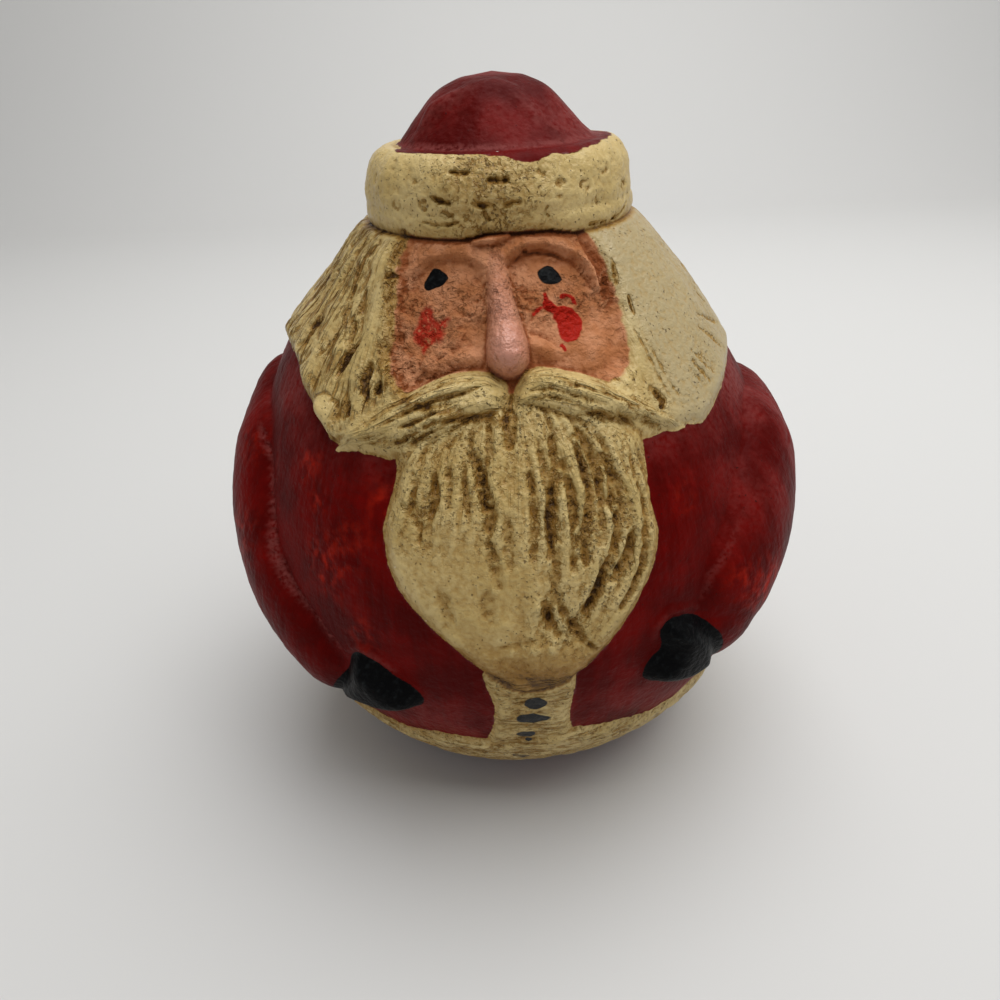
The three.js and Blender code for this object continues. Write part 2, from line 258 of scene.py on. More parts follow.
# %% Length of the outline up to a height, and back
OUTLINE_HEIGHTS = np.linspace(0, TOP_Z, 1401)
OUTLINE_LENGTHS = np.concatenate(
    [[0], np.cumsum(np.hypot(np.diff(OUTLINE_HEIGHTS), np.diff(plain_radius(OUTLINE_HEIGHTS))))]
)


def length_up_to(z):
    return np.interp(z, OUTLINE_HEIGHTS, OUTLINE_LENGTHS)


def height_at(length):
    return np.interp(length, OUTLINE_LENGTHS, OUTLINE_HEIGHTS)


print("outline from foot to top:", round(float(OUTLINE_LENGTHS[-1]), 1), "mm")

# %% [markdown]
# ## Rings of points
#
# The mesh is rings of points up the figure. Fine rings all over would waste most of them on smooth
# paint, so each zone has its own spacing, and each ring is fine in front, where the carving is, and
# coarse behind. Subdividing a coarse mesh would be simpler, but it rounds off tool marks.

# %% Zones and the spacing of their rings
# Each zone: its top height, millimetres between rings, and the steps of the four stretches below.
ZONES = [
    (11, 2.0, (24, 10, 8, 18)),
    (35, 0.8, (120, 34, 10, 22)),
    (58, 0.75, (150, 38, 12, 26)),
    (104, 0.64, (180, 42, 12, 28)),
    (143, 0.45, (180, 46, 12, 32)),
    (162, 0.42, (180, 42, 12, 32)),
    (174.4, 0.9, (80, 24, 10, 24)),
]
# The stretches' ends in degrees from the front middle: front, near sides, far sides, back.
FRONT_END = 44
NEAR_END = 82
FAR_END = 112


def ring_azimuths(steps):
    """Azimuths of one ring, from one far side over the front and round the back."""
    front, near, far, back = steps
    stretches = [
        (-FAR_END, -NEAR_END, far),
        (-NEAR_END, -FRONT_END, near),
        (-FRONT_END, FRONT_END, front),
        (FRONT_END, NEAR_END, near),
        (NEAR_END, FAR_END, far),
        (FAR_END, 360 - FAR_END, back),
    ]
    return np.concatenate(
        [np.linspace(start, end, count, endpoint=False) for start, end, count in stretches]
    )


def make_rings():
    """(height, azimuths) of every ring, from the foot's edge to just under the top."""
    rings = []
    start = 0.0
    for top_z, spacing, steps in ZONES:
        end = float(length_up_to(top_z))
        count = round((end - start) / spacing)
        for length in np.linspace(start, end, count, endpoint=False):
            rings.append((float(height_at(length)), ring_azimuths(steps)))
        start = end
    return rings


rings = make_rings()
print(len(rings), "rings,", sum(len(azimuths) for _, azimuths in rings), "points")


# %% The spots: every point's place on the plain figure
class Spots:
    """Azimuth, height, length up the outline and radius of many places at once."""

    def __init__(self, azimuth, z):
        self.azimuth = np.where(azimuth > 180, azimuth - 360, azimuth)
        self.z = z
        self.up = length_up_to(z)
        self.radius = plain_radius(z)
        turn = np.radians(azimuth)
        self.point = np.stack([self.radius * np.sin(turn), -self.radius * np.cos(turn), z], 1)

    def near(self, line, margin):
        """Which spots lie in the box round a line, made wider by a margin in millimetres."""
        azimuths, heights = np.asarray(line, float)[:, :2].T
        aside = np.degrees(margin / np.maximum(self.radius, 5))
        keep = (self.azimuth > azimuths.min() - aside) & (self.azimuth < azimuths.max() + aside)
        keep &= self.up > length_up_to(heights.min()) - margin
        keep &= self.up < length_up_to(heights.max()) + margin
        return np.flatnonzero(keep)


# Two last points close the foot and the top.
all_azimuths = [azimuths for _, azimuths in rings] + [[0.0, 0.0]]
all_heights = [np.full(len(azimuths), z) for z, azimuths in rings] + [[0.0, TOP_Z]]
spots = Spots(np.concatenate(all_azimuths), np.concatenate(all_heights))
print("widest radius", round(float(spots.radius.max()), 1), "mm")

# %% [markdown]
# ## Measuring on the surface
#
# To press a shape into the figure, each spot has to know how far it is from that shape's line or
# edge. Distances are taken over the surface in millimetres, so that a groove is as wide on the
# narrow head as on the belly. Only spots near a line are measured, which keeps the script quick.


# %% Offsets and nearest points
def offsets_to(at, place):
    """Millimetres over the surface from the spots numbered `at` to one place."""
    azimuth, z = place[:2]
    across = np.radians(azimuth - spots.azimuth[at]) * spots.radius[at]
    return across, length_up_to(z) - spots.up[at]


def nearest_on(start, end):
    """Share of the way from start to end, and distance, of the point nearest to each spot."""
    (x1, y1), (x2, y2) = start, end
    dx, dy = x2 - x1, y2 - y1
    share = np.clip(-(x1 * dx + y1 * dy) / np.maximum(dx * dx + dy * dy, 1e-9), 0, 1)
    return share, np.hypot(x1 + share * dx, y1 + share * dy)


# %% Closed edges: smooth curves and how deep inside them a spot lies
EDGE_STEPS = 4


def smooth_edge(corners):
    """A closed centripetal Catmull-Rom curve through given corners."""
    points = np.array(corners, float)
    before, after, beyond = (np.roll(points, shift, 0) for shift in (1, -1, -2))
    gap_before, gap, gap_after = (
        np.linalg.norm(end - start, axis=1, keepdims=True) ** 0.5
        for start, end in ((before, points), (points, after), (after, beyond))
    )
    leave = (points - before) / gap_before - (after - before) / (gap_before + gap)
    leave = gap * (leave + (after - points) / gap)
    arrive = (after - points) / gap - (beyond - points) / (gap + gap_after)
    arrive = gap * (arrive + (beyond - after) / gap_after)
    share = np.linspace(0, 1, EDGE_STEPS, endpoint=False)[:, None, None]
    curve = (2 * share**3 - 3 * share**2 + 1) * points + (share**3 - 2 * share**2 + share) * leave
    curve = curve + (3 * share**2 - 2 * share**3) * after + (share**3 - share**2) * arrive
    return curve.transpose(1, 0, 2).reshape(-1, 2)


def depth_inside(corners, margin=9.0):
    """Millimetres inside a smooth closed edge, below zero outside and never under -margin."""
    edge = smooth_edge(corners)
    at = spots.near(edge, margin)
    nearest = np.full(len(at), float(margin))
    inside = np.zeros(len(at), bool)
    for index, corner in enumerate(edge):
        start = offsets_to(at, corner)
        end = offsets_to(at, edge[(index + 1) % len(edge)])
        nearest = np.minimum(nearest, nearest_on(start, end)[1])
        crosses = (start[1] > 0) != (end[1] > 0)
        rise = np.where(crosses, end[1] - start[1], 1)
        inside ^= crosses & (start[0] - start[1] * (end[0] - start[0]) / rise > 0)
    depth = np.full(len(spots.z), -float(margin))
    depth[at] = np.where(inside, nearest, -nearest)
    return depth


# %% Open lines: ridges and grooves
def ridge(line, roundness=0.6):
    """Height, 0 to 1, of a rounded ridge along a line of [azimuth, z, half width, share]."""
    at = spots.near(line, max(point[2] for point in line))
    height = np.zeros(len(at))
    for start, end in zip(line, line[1:]):
        share, distance = nearest_on(offsets_to(at, start), offsets_to(at, end))
        half_width = lerp(start[2], end[2], share)
        across = np.minimum(distance / half_width, 1)
        height = np.maximum(height, lerp(start[3], end[3], share) * (1 - across**2) ** roundness)
    result = np.zeros(len(spots.z))
    result[at] = height
    return result


# Towards both ends a groove thins out to these shares of its width and its depth.
END_WIDTH = 0.35
END_DEPTH = 0.25
TAPER_POWER = 0.35


def groove(line, half_width, steepness=1.5):
    """Depth, 0 to 1, of a groove along a line of [azimuth, z], thinning out at both ends."""
    at = spots.near(line, half_width)
    depth = np.zeros(len(at))
    pieces = len(line) - 1
    for index, (start, end) in enumerate(zip(line, line[1:])):
        share, distance = nearest_on(offsets_to(at, start), offsets_to(at, end))
        along = (index + share) / pieces
        taper = (4 * along * (1 - along)) ** TAPER_POWER
        across = np.minimum(distance / (half_width * lerp(END_WIDTH, 1, taper)), 1)
        depth = np.maximum(depth, lerp(END_DEPTH, 1, taper) * (1 - across**2) ** steepness)
    result = np.zeros(len(spots.z))
    result[at] = depth
    return result


def carve(cuts, steepness=1.5):
    """Depth in millimetres left by cuts, each a line, a half width and a depth."""
    total = np.zeros(len(spots.z))
    for line, half_width, depth in cuts:
        total = np.maximum(total, depth * groove(line, half_width, steepness))
    return total


def soft_max(first, second, softness=0.35):
    """The higher of two, rounded where they cross."""
    near = np.clip(0.5 + 0.5 * (second - first) / softness, 0, 1)
    return lerp(first, second, near) + softness * near * (1 - near)


def pillow(depth, rounded_width):
    """Height, 0 to 1, of a flat-topped thing that is rounded over a width inside its edge."""
    share = depth / rounded_width
    return np.where(share < 0, 2 * share, np.sin(np.pi / 2 * np.minimum(share, 1)))


# %% [markdown]
# ## Chance marks
#
# Clay is never quite smooth, and no two strokes of a tool are alike. Gradient noise gives lumps and
# crumbs. The same noise, drawn out along the strands, gives furrows that wander, fork and close up
# again as combed clay does. Every call takes a seed, so each run of the script makes the same
# figure.

# %% Lumps
NOISE_CELLS = 256
NOISE_GAIN = 1.6


def noise(points, seed):
    """Gradient noise, about -1 to 1, with lumps one unit across."""
    draw = np.random.default_rng(seed)
    order = draw.permutation(NOISE_CELLS)
    slopes = draw.normal(size=(NOISE_CELLS, 3))
    slopes /= np.linalg.norm(slopes, axis=1, keepdims=True)
    cell = np.floor(points).astype(int)
    part = points - cell
    fade = part**3 * (part * (part * 6 - 15) + 10)
    total = np.zeros(len(points))
    for corner in itertools.product((0, 1), repeat=3):
        column, row, layer = ((cell + corner) % NOISE_CELLS).T
        pick = order[(order[(order[column] + row) % NOISE_CELLS] + layer) % NOISE_CELLS]
        weight = np.prod(np.where(corner, fade, 1 - fade), axis=1)
        total += weight * np.einsum("ij,ij->i", slopes[pick], part - corner)
    return total * NOISE_GAIN


def lumps(size, seed, octaves=1):
    """Noise over the figure with lumps of a size in millimetres, each octave half as big."""
    total = 0
    for octave in range(octaves):
        total = total + noise(spots.point * (2**octave / size), seed + octave) / 2**octave
    return total


# %% Furrows along the strands
# A furrow wanders sideways by a share of its width, in bends that are some widths long.
WANDER_SHARE = 0.35
BEND_WIDTHS = 2.5
# Cracks break off and start again in patches of this many millimetres.
BREAK_SIZE = 5


def furrows(across, along, width, length, seed):
    """Noise, about -1 to 1, over millimetres across and along the strands."""
    wander = WANDER_SHARE * width * lumps(BEND_WIDTHS * width, seed + 50)
    slice_of_noise = np.full(len(across), seed / 7)
    return noise(np.stack([(across + wander) / width, along / length, slice_of_noise], 1), seed)


def valleys(wave, low=0.05, high=0.45):
    """How far down a valley each spot lies, 0 to 1, where a wave runs below zero."""
    return smoothstep(-wave, low, high)


def cracks(wave, sharpness, seed):
    """Thin broken lines, 0 to 1, along the places where a wave passes through zero."""
    unbroken = smoothstep(lumps(BREAK_SIZE, seed), -0.15, 0.25)
    return np.exp(-((wave * sharpness) ** 2)) * unbroken


# %% [markdown]
# ## The coat
#
# Two fat sausages of clay make the arms, pressed on to the ball so that their inner edge shows as a
# crumbly crease. Mittens close each arm, with a rolled cuff above. The fur trim is a flat strip
# round the bottom and another up the front. All of it is height added to the plain figure.

# %% Arms and their creases
ARM_RISE = 7.2
LEFT_ARM = [
    (-92, 96, 14, 0.8), (-80, 87, 18, 1), (-74, 76, 18, 1), (-64, 63, 17, 0.95),
    (-52, 53, 13.5, 0.85), (-46, 48, 11, 0.75),
]
RIGHT_ARM = [
    (88, 92, 13, 0.75), (73, 87, 17.5, 1), (62, 77, 20, 1), (51, 67, 19, 0.95), (46, 59, 13.5, 0.8),
]
# Creases: a line of [azimuth, z], half width and depth in millimetres.
CREASES = [
    ([(-72, 99), (-64, 94), (-58.5, 83), (-55.5, 75), (-50, 69), (-43.5, 64), (-37, 57)], 1.5, 1.5),
    ([(-62, 101), (-60, 95), (-59, 90)], 0.8, 0.6),
    ([(84, 101), (80, 94), (69, 90)], 0.8, 0.5),
    ([(56, 90), (47, 84), (42, 79), (38, 75), (36, 69)], 1.3, 0.4),
]


def tell(what, values):
    """Prints how large a rise or a depth gets."""
    print(what, "up to", round(float(values.max()), 1), "mm")


left_arm = ridge(LEFT_ARM, roundness=0.7)
right_arm = ridge(RIGHT_ARM, roundness=0.85)
arms = ARM_RISE * np.maximum(left_arm, right_arm)
crumbs = 0.6 + 0.8 * lumps(1.7, seed=31, octaves=2)
creases = carve(CREASES)
tell("arms stand out", arms)

# %% Mittens and cuffs
MITTEN_RISE = 5
CUFF_RISE = 1.4
LEFT_MITTEN_EDGE = [
    (-31, 60), (-27, 59), (-24, 55.5), (-21.5, 54), (-19, 50), (-20, 46.5),
    (-25, 43), (-32, 42), (-42, 41), (-40, 46), (-36, 52), (-33.5, 58),
]
RIGHT_MITTEN_EDGE = [
    (28, 68), (33, 67), (38, 62), (41, 55), (41, 48.5), (35, 46.5),
    (28, 48.5), (24, 52.5), (24.5, 57), (27, 60.5), (26.5, 65.5),
]
LEFT_CUFF = [(-35, 58.5, 1.3, 0.9), (-30, 61.3, 1.5, 1), (-24, 57.5, 1.2, 0.5)]
RIGHT_CUFF = [(35, 67.5, 1.2, 0.8), (29, 69.8, 1.4, 1), (25.3, 66.5, 1.2, 0.6), (26, 61, 1.0, 0.4)]

mitten_depth = np.maximum(depth_inside(LEFT_MITTEN_EDGE), depth_inside(RIGHT_MITTEN_EDGE))
cuffs = CUFF_RISE * np.maximum(ridge(LEFT_CUFF), ridge(RIGHT_CUFF)) * (0.7 + 0.5 * lumps(3, seed=38))
mittens = MITTEN_RISE * pillow(mitten_depth, 6)
tell("mittens stand out", mittens)

# %% Fur trim round the hem and up the front
HEM_RISE = 2
PLACKET_RISE = 1.2
HEM_BOTTOM_Z = 13
# The hem's upper edge, from low at the back to high beside the buttons on the right.
HEM_AZIMUTHS = [-180, -60, -31, -21, -14, -6, 9, 12, 22, 30, 41, 60, 180]
HEM_HEIGHTS = [31, 29.5, 29, 32, 33, 33, 37.5, 37.5, 34.5, 31.5, 30, 30.5, 31]
PLACKET_EDGE = [(-6, 62), (-5, 50), (-5.5, 42), (-7, 30), (10, 30), (9.5, 45), (9, 62)]
TRIM_SCRATCHES = [
    ([(-26, 26), (-20, 27)], 0.6, 0.4), ([(-14, 29), (-9, 29.5)], 0.6, 0.4),
    ([(12, 35), (18, 34.5)], 0.8, 0.5), ([(13, 33), (24, 31)], 0.9, 0.5),
    ([(20, 29), (30, 27)], 0.6, 0.4), ([(4, 41), (7, 40.5)], 0.5, 0.35),
]

hem_top = np.interp(spots.azimuth, HEM_AZIMUTHS, HEM_HEIGHTS) + 0.5 * lumps(9, seed=41)
hem_depth = np.minimum(spots.z - HEM_BOTTOM_Z + 0.6 * lumps(12, seed=42), hem_top - spots.z)
placket_depth = depth_inside(PLACKET_EDGE) + 0.2 * lumps(4, seed=44)
trim_depth = np.maximum(hem_depth, placket_depth)
trim = np.maximum(HEM_RISE * pillow(hem_depth, 3), PLACKET_RISE * pillow(placket_depth, 2))
round_mm = np.radians(spots.azimuth) * spots.radius
trim_furrows = furrows(spots.up, round_mm, width=1.8, length=6, seed=43)
trim_cuts = 0.35 * cracks(trim_furrows, sharpness=2.2, seed=46) + carve(TRIM_SCRATCHES)
trim_cuts *= smoothstep(trim_depth, 0.2, 1.2)
trim_marks = 0.08 * lumps(2.2, seed=47, octaves=2) - trim_cuts
coat = np.maximum.reduce([np.zeros(len(spots.z)), arms, trim])
tell("fur trim stands out", trim)

# %% [markdown]
# ## Beard and moustache
#
# The beard is a flat lump on the chest, wider than it is thick. Its strands fan out from under the
# nose and follow the edge down, deep on the right and almost rubbed smooth at the lower left. So the
# furrows run along lines of equal share of the beard's own half width. The moustache has two lobes
# whose strands close up towards each tip. The boldest cuts are placed one by one, as the maker
# placed them. Between them noise draws the lesser ones, which saves hundreds of points.

# %% The beard's form
BEARD_RISE = 3.2
BEARD_EDGE = [
    (-25, 109), (-23.6, 102.5), (-25, 93), (-22.4, 82), (-16.8, 74), (-9.8, 65.5), (-3.5, 58.4),
    (1, 55.2), (6, 56.2), (12, 61), (17.5, 68.5), (23, 78), (27, 88), (26.8, 96),
    (27.4, 102), (28.4, 109), (0, 118),
]
# Half width of the fan of strands, in degrees, at rising heights.
FAN_HEIGHTS = [54, 61, 68, 74, 82, 92, 100, 108, 118]
FAN_WIDTHS = [5, 9, 13.5, 18.5, 23.5, 26, 25, 22, 14]
FAN_MM = 28

beard_depth = depth_inside(BEARD_EDGE) + 0.25 * lumps(3, seed=50)
fan = spots.azimuth / np.interp(spots.z, FAN_HEIGHTS, FAN_WIDTHS)
combed = np.maximum(
    smoothstep(fan, -0.1, 0.3) * smoothstep(spots.z, 64, 76),
    smoothstep(spots.z, 84, 98),
)
fan_mm = fan * FAN_MM
broad_locks = furrows(fan_mm, spots.up, width=5.5, length=40, seed=51)
locks = furrows(fan_mm, spots.up, width=2.8, length=20, seed=53)
fine_locks = furrows(fan_mm, spots.up, width=1.5, length=10, seed=56)

# %% Valleys that the maker drew through the beard, and the crack near its tip
# Cuts: a line of [azimuth, z], half width and depth in millimetres.
BEARD_VALLEYS = [
    ([(-19, 104), (-18.5, 99), (-17.5, 95)], 1.1, 0.6),
    ([(-14.8, 104), (-14.2, 99.5), (-15, 96)], 1.2, 0.7),
    ([(-12, 106), (-11.4, 97.5)], 0.8, 0.5),
    ([(-9.3, 105), (-8, 97)], 0.9, 0.55),
    ([(-7.5, 108), (-5, 100), (-4, 96.5), (-4.8, 93)], 1.8, 1.0),
    ([(-4.6, 93.5), (-3.8, 89), (-2.8, 83)], 1.5, 0.55),
    ([(-1.4, 97), (-0.8, 87)], 1.4, 0.5),
    ([(3.2, 105), (3.6, 95), (2.8, 88)], 1.4, 0.65),
    ([(8, 110), (8, 102.5), (6.3, 96), (5.4, 88.5)], 1.5, 0.9),
    ([(9.2, 107), (10.5, 100.5), (10.6, 93.5), (9.6, 85.5)], 1.4, 0.9),
    ([(12.6, 110), (13.9, 100), (12.8, 95), (11.6, 90.5), (12, 86.5)], 1.3, 0.9),
    ([(14.3, 110), (16.2, 103), (16, 97)], 1.2, 0.8),
    ([(17.2, 106), (18.6, 99), (17.6, 96)], 1.9, 0.9),
    ([(19.5, 99), (18.2, 91.5), (16.4, 87)], 1.5, 1.0),
    ([(16.4, 87.5), (14.7, 83.4), (13, 80), (10.8, 76.5)], 1.7, 1.1),
    ([(21.3, 91.5), (18.5, 85), (15.6, 82.7)], 1.5, 0.9),
    ([(23.8, 94), (22.2, 84.5), (20, 80), (17.3, 76.3)], 1.5, 1.1),
    ([(23, 105), (24, 97), (23.4, 91)], 1.0, 0.6),
    ([(-13, 83), (-11.6, 78.4), (-12, 74.5)], 1.8, 0.4),
    ([(-5, 83), (-5, 75)], 2.0, 0.4),
    ([(4, 80.5), (5.5, 75.5), (6.9, 72.2)], 1.3, 0.75),
    ([(6.6, 82), (7.5, 77.4), (9.3, 73.7), (11.2, 70.5)], 1.4, 0.75),
    ([(-20.7, 98.3), (-18, 95.8), (-16.9, 94.5), (-16.6, 90.5)], 0.8, 0.5),
    ([(-3.8, 70.6), (-0.5, 71.2), (3.4, 72.2)], 0.6, 0.35),
    ([(9.5, 71.8), (11.7, 69.3), (13.5, 67.2)], 0.8, 0.8),
    ([(0.2, 120), (0, 114), (-0.5, 108)], 1.8, 1.0),
]
# Smooth lumps: azimuth, height, radius and rise.
BEARD_LUMPS = [
    (4.5, 68.5, 5.5, 1.0), (3.5, 79, 1.2, 0.7), (-3.5, 74, 3.5, 0.4), (-5, 65.5, 4, 0.4),
    (2.5, 70.5, 1.3, 0.5), (5.5, 70.3, 1.1, 0.5), (-1, 69.5, 1.4, 0.35), (-11, 71.5, 2.2, 0.4),
    (-8, 77, 2.5, 0.3), (9, 66, 2, 0.35), (1, 62, 2.4, 0.3), (-2, 76, 1.5, 0.3),
]


def bell(offset, width):
    """1 where the offset is none, fading smoothly away beyond a width."""
    return np.exp(-((offset / width) ** 2))


def swell(places):
    """Rounded lumps, each an azimuth, a height, a radius and a rise."""
    total = np.zeros(len(spots.z))
    for azimuth, z, radius, rise in places:
        at = spots.near([(azimuth, z)] * 2, 3 * radius)
        total[at] += rise * bell(np.hypot(*offsets_to(at, (azimuth, z))), radius)
    return total


crumbly = np.clip(0.8 + 0.5 * lumps(1.6, seed=54, octaves=2), 0.2, 1.5)
beard_cuts = 1.9 * crumbly * carve(BEARD_VALLEYS, steepness=0.9)
beard_cuts = beard_cuts + combed * (0.8 * valleys(locks) + 0.3 * valleys(fine_locks))
beard_crumbs = 0.07 + 0.22 * smoothstep(beard_cuts, 0.1, 0.6)
at_tip = 1 - smoothstep(spots.z, 64, 76)
beard_marks = 1.3 * swell(BEARD_LUMPS) - beard_cuts + beard_crumbs * lumps(1.7, seed=55, octaves=2)
beard_marks = beard_marks + at_tip * (0.45 * lumps(4.5, seed=57, octaves=2) + 0.16 * lumps(1.6, seed=58))
beard = (BEARD_RISE + 0.45 * combed * broad_locks) * pillow(beard_depth, 5)
tell("beard stands out", beard)
tell("its cuts go in", beard_cuts)

# %% The moustache's lobes
MOUSTACHE_RISE = 5
LEFT_MOUSTACHE_EDGE = [
    (0, 119), (-4, 121.5), (-13, 121.5), (-22, 118.5), (-30, 113.5), (-39, 105.5),
    (-40, 104.2), (-32, 105.9), (-22, 106.8), (-15, 108.5), (-9, 111.5), (-1, 114),
]
RIGHT_MOUSTACHE_EDGE = [
    (1, 118), (6, 122), (13, 121.5), (23, 118.5), (32, 113), (39, 108),
    (41, 106.2), (36, 106.6), (26, 109), (14, 110.8), (5, 114), (1, 114.5),
]
# Middle height and half height of a lobe at growing distances from the nose, in degrees.
LOBE_AZIMUTHS = [0, 5, 10, 16, 22, 28, 34, 40]
LOBE_MIDDLES = [116.5, 117.5, 116.8, 115, 112.3, 110, 107.6, 104.6]
LOBE_HALVES = [2.5, 4.4, 5.4, 6.2, 6.4, 5.2, 3.6, 1.6]

moustache_depth = np.maximum(depth_inside(LEFT_MOUSTACHE_EDGE), depth_inside(RIGHT_MOUSTACHE_EDGE))
moustache_depth = moustache_depth + 0.25 * lumps(2.5, seed=60)
aside = np.abs(spots.azimuth)
lobe_share = (spots.z - np.interp(aside, LOBE_AZIMUTHS, LOBE_MIDDLES)) / np.interp(
    aside, LOBE_AZIMUTHS, LOBE_HALVES
)
lobe_taper = lerp(1, 0.75, smoothstep(aside, 18, 42))
strand_waves = 0.3 * np.cos(2 * np.pi * (spots.z + 0.42 * aside) / 6.5)
moustache = (MOUSTACHE_RISE * lobe_taper + strand_waves) * pillow(moustache_depth, 5)
tell("moustache stands out", moustache)

# %% Cuts along each lobe
MOUSTACHE_CUTS = [
    ([(-34, 109), (-28.7, 112.7), (-23.3, 115.4), (-18, 117.9), (-12, 119.3)], 0.8, 0.7),
    ([(-31, 108.8), (-24.8, 111.8), (-16.5, 115.5), (-10.2, 117.2), (-6, 118.5)], 0.9, 0.9),
    ([(-28, 113.6), (-22.4, 116.5), (-14.7, 118.4)], 0.7, 0.7),
    ([(-27.5, 106.6), (-21.8, 108.9), (-16, 112), (-11.9, 112.8), (-5.9, 114)], 0.9, 1.1),
    ([(-22.5, 107.1), (-17.8, 110), (-12.5, 112.4)], 0.8, 0.9),
    ([(-21, 105.9), (-16.3, 107.4), (-11.6, 109.4), (-7.5, 110.7)], 0.8, 0.7),
    ([(-20, 117.2), (-12.6, 119.7), (-6, 119.8)], 0.8, 0.6),
    ([(-20.5, 113.7), (-14.3, 115.2), (-10.5, 116)], 0.7, 0.7),
    ([(-23, 110.6), (-15.5, 113.7)], 0.8, 0.8),
    ([(-33, 106.9), (-30, 108)], 0.7, 0.7),
    ([(7, 120.2), (10.4, 119.9), (15.4, 117.4), (21.5, 115.3), (27.1, 111.6), (30, 108.5)], 0.8, 0.8),
    ([(4.6, 117.6), (8.9, 117.7), (14.9, 115.6), (20.5, 113.5)], 0.9, 0.9),
    ([(4, 116.3), (8.2, 116.4), (12.7, 115.4), (15.8, 113.4)], 0.8, 0.8),
    ([(10, 118.8), (15.5, 116.9), (19.5, 116.4)], 0.7, 0.7),
    ([(13.7, 112.9), (18.3, 112.7), (22.2, 111.1)], 0.8, 0.9),
    ([(22.3, 112.6), (26.6, 109.3)], 0.8, 0.9),
    ([(17.4, 118.1), (22.6, 115), (27.4, 112.2), (31.1, 108.6), (33.5, 107)], 0.8, 0.8),
    ([(27.8, 114), (30.5, 110.9), (33, 107.9)], 0.7, 0.7),
    ([(4, 115.5), (10.2, 113.6), (15.8, 111.3), (18, 110)], 0.9, 0.8),
    ([(8.2, 111.6), (12.6, 110.7), (18.7, 109.4)], 0.8, 1.2),
]
LOBE_MM = 7


def stretch(value, start, full_from, full_to, end):
    """1 from full_from to full_to, fading to 0 at start and at end."""
    return smoothstep(value, start, full_from) * (1 - smoothstep(value, full_to, end))


lobe_mm = lobe_share * LOBE_MM
lobe_furrows = furrows(lobe_mm, round_mm, width=2.6, length=16, seed=61)
fine_lobe_furrows = furrows(lobe_mm, round_mm, width=1.3, length=8, seed=63)
# The right lobe has a smooth roll below, close to the nose.
smooth_roll = smoothstep(-lobe_share, 0.1, 0.5) * stretch(spots.azimuth, 3, 6, 16, 20)
combed_lobes = 1 - 0.95 * smooth_roll
moustache_cuts = 0.35 * cracks(lobe_furrows, sharpness=5, seed=64) + 0.12 * valleys(fine_lobe_furrows)
moustache_cuts = moustache_cuts * combed_lobes + crumbly * carve(MOUSTACHE_CUTS, steepness=2.2)
moustache_marks = (0.16 - 0.1 * smooth_roll) * lumps(1.5, seed=67, octaves=2) - moustache_cuts
tell("its cuts go in", moustache_cuts)

# %% [markdown]
# ## The hair
#
# Long hair hangs all round from under the hat band. On the viewer's left it is combed in thick
# strands, with a smooth roll beside the face. On the right it is nearly smooth, with pits and a few
# scratches. Behind, out of sight, it is combed lightly, in keeping.

# %% The hair's form
LEFT_HAIR_RISE = 2.6
RIGHT_HAIR_RISE = 1.5
HAIR_ROLL = [(-43, 144, 4.5, 0.8), (-40, 136, 4.5, 1), (-36.5, 126, 4.2, 1), (-38, 119, 4, 0.7)]
STRAND_RADIUS = 48
# The hair's lower edge, lowest where it meets the moustache.
HAIR_EDGE_AZIMUTHS = [-180, -110, -75, -67, -62, -57, -48, -42, -38, 38, 42, 46, 54, 66, 88, 120, 180]
HAIR_EDGE_HEIGHTS = [
    115, 115, 115.5, 115.8, 114.3, 112, 109.3, 105.8, 105, 107, 106.2, 105.4, 107.2, 109.8, 112,
    114.5, 115,
]

hair_edge_z = np.interp(spots.azimuth, HAIR_EDGE_AZIMUTHS, HAIR_EDGE_HEIGHTS)
left_side = 1 - smoothstep(spots.azimuth, -40, 40)
left_side = lerp(left_side, 0.6, smoothstep(aside, 120, 180))
hair_wander = 0.3 * lumps(6, seed=71) + (0.1 + 0.5 * left_side) * lumps(2.6, seed=72)
hair_depth = spots.up - length_up_to(hair_edge_z) + hair_wander
strand_phase = spots.azimuth / 9 + 0.3 * np.sin(spots.z / 9)
strand_swell = lerp(0.1, 0.3, left_side) * np.cos(2 * np.pi * strand_phase)
hair = (lerp(RIGHT_HAIR_RISE, LEFT_HAIR_RISE, left_side) + strand_swell) * pillow(hair_depth, 3.5)
hair = hair + 0.9 * ridge(HAIR_ROLL, roundness=0.9)
# Close under the hat band the hair is pressed flatter.
hair *= 1 - 0.5 * smoothstep(spots.z, 138, 147)
tell("hair stands out", hair)

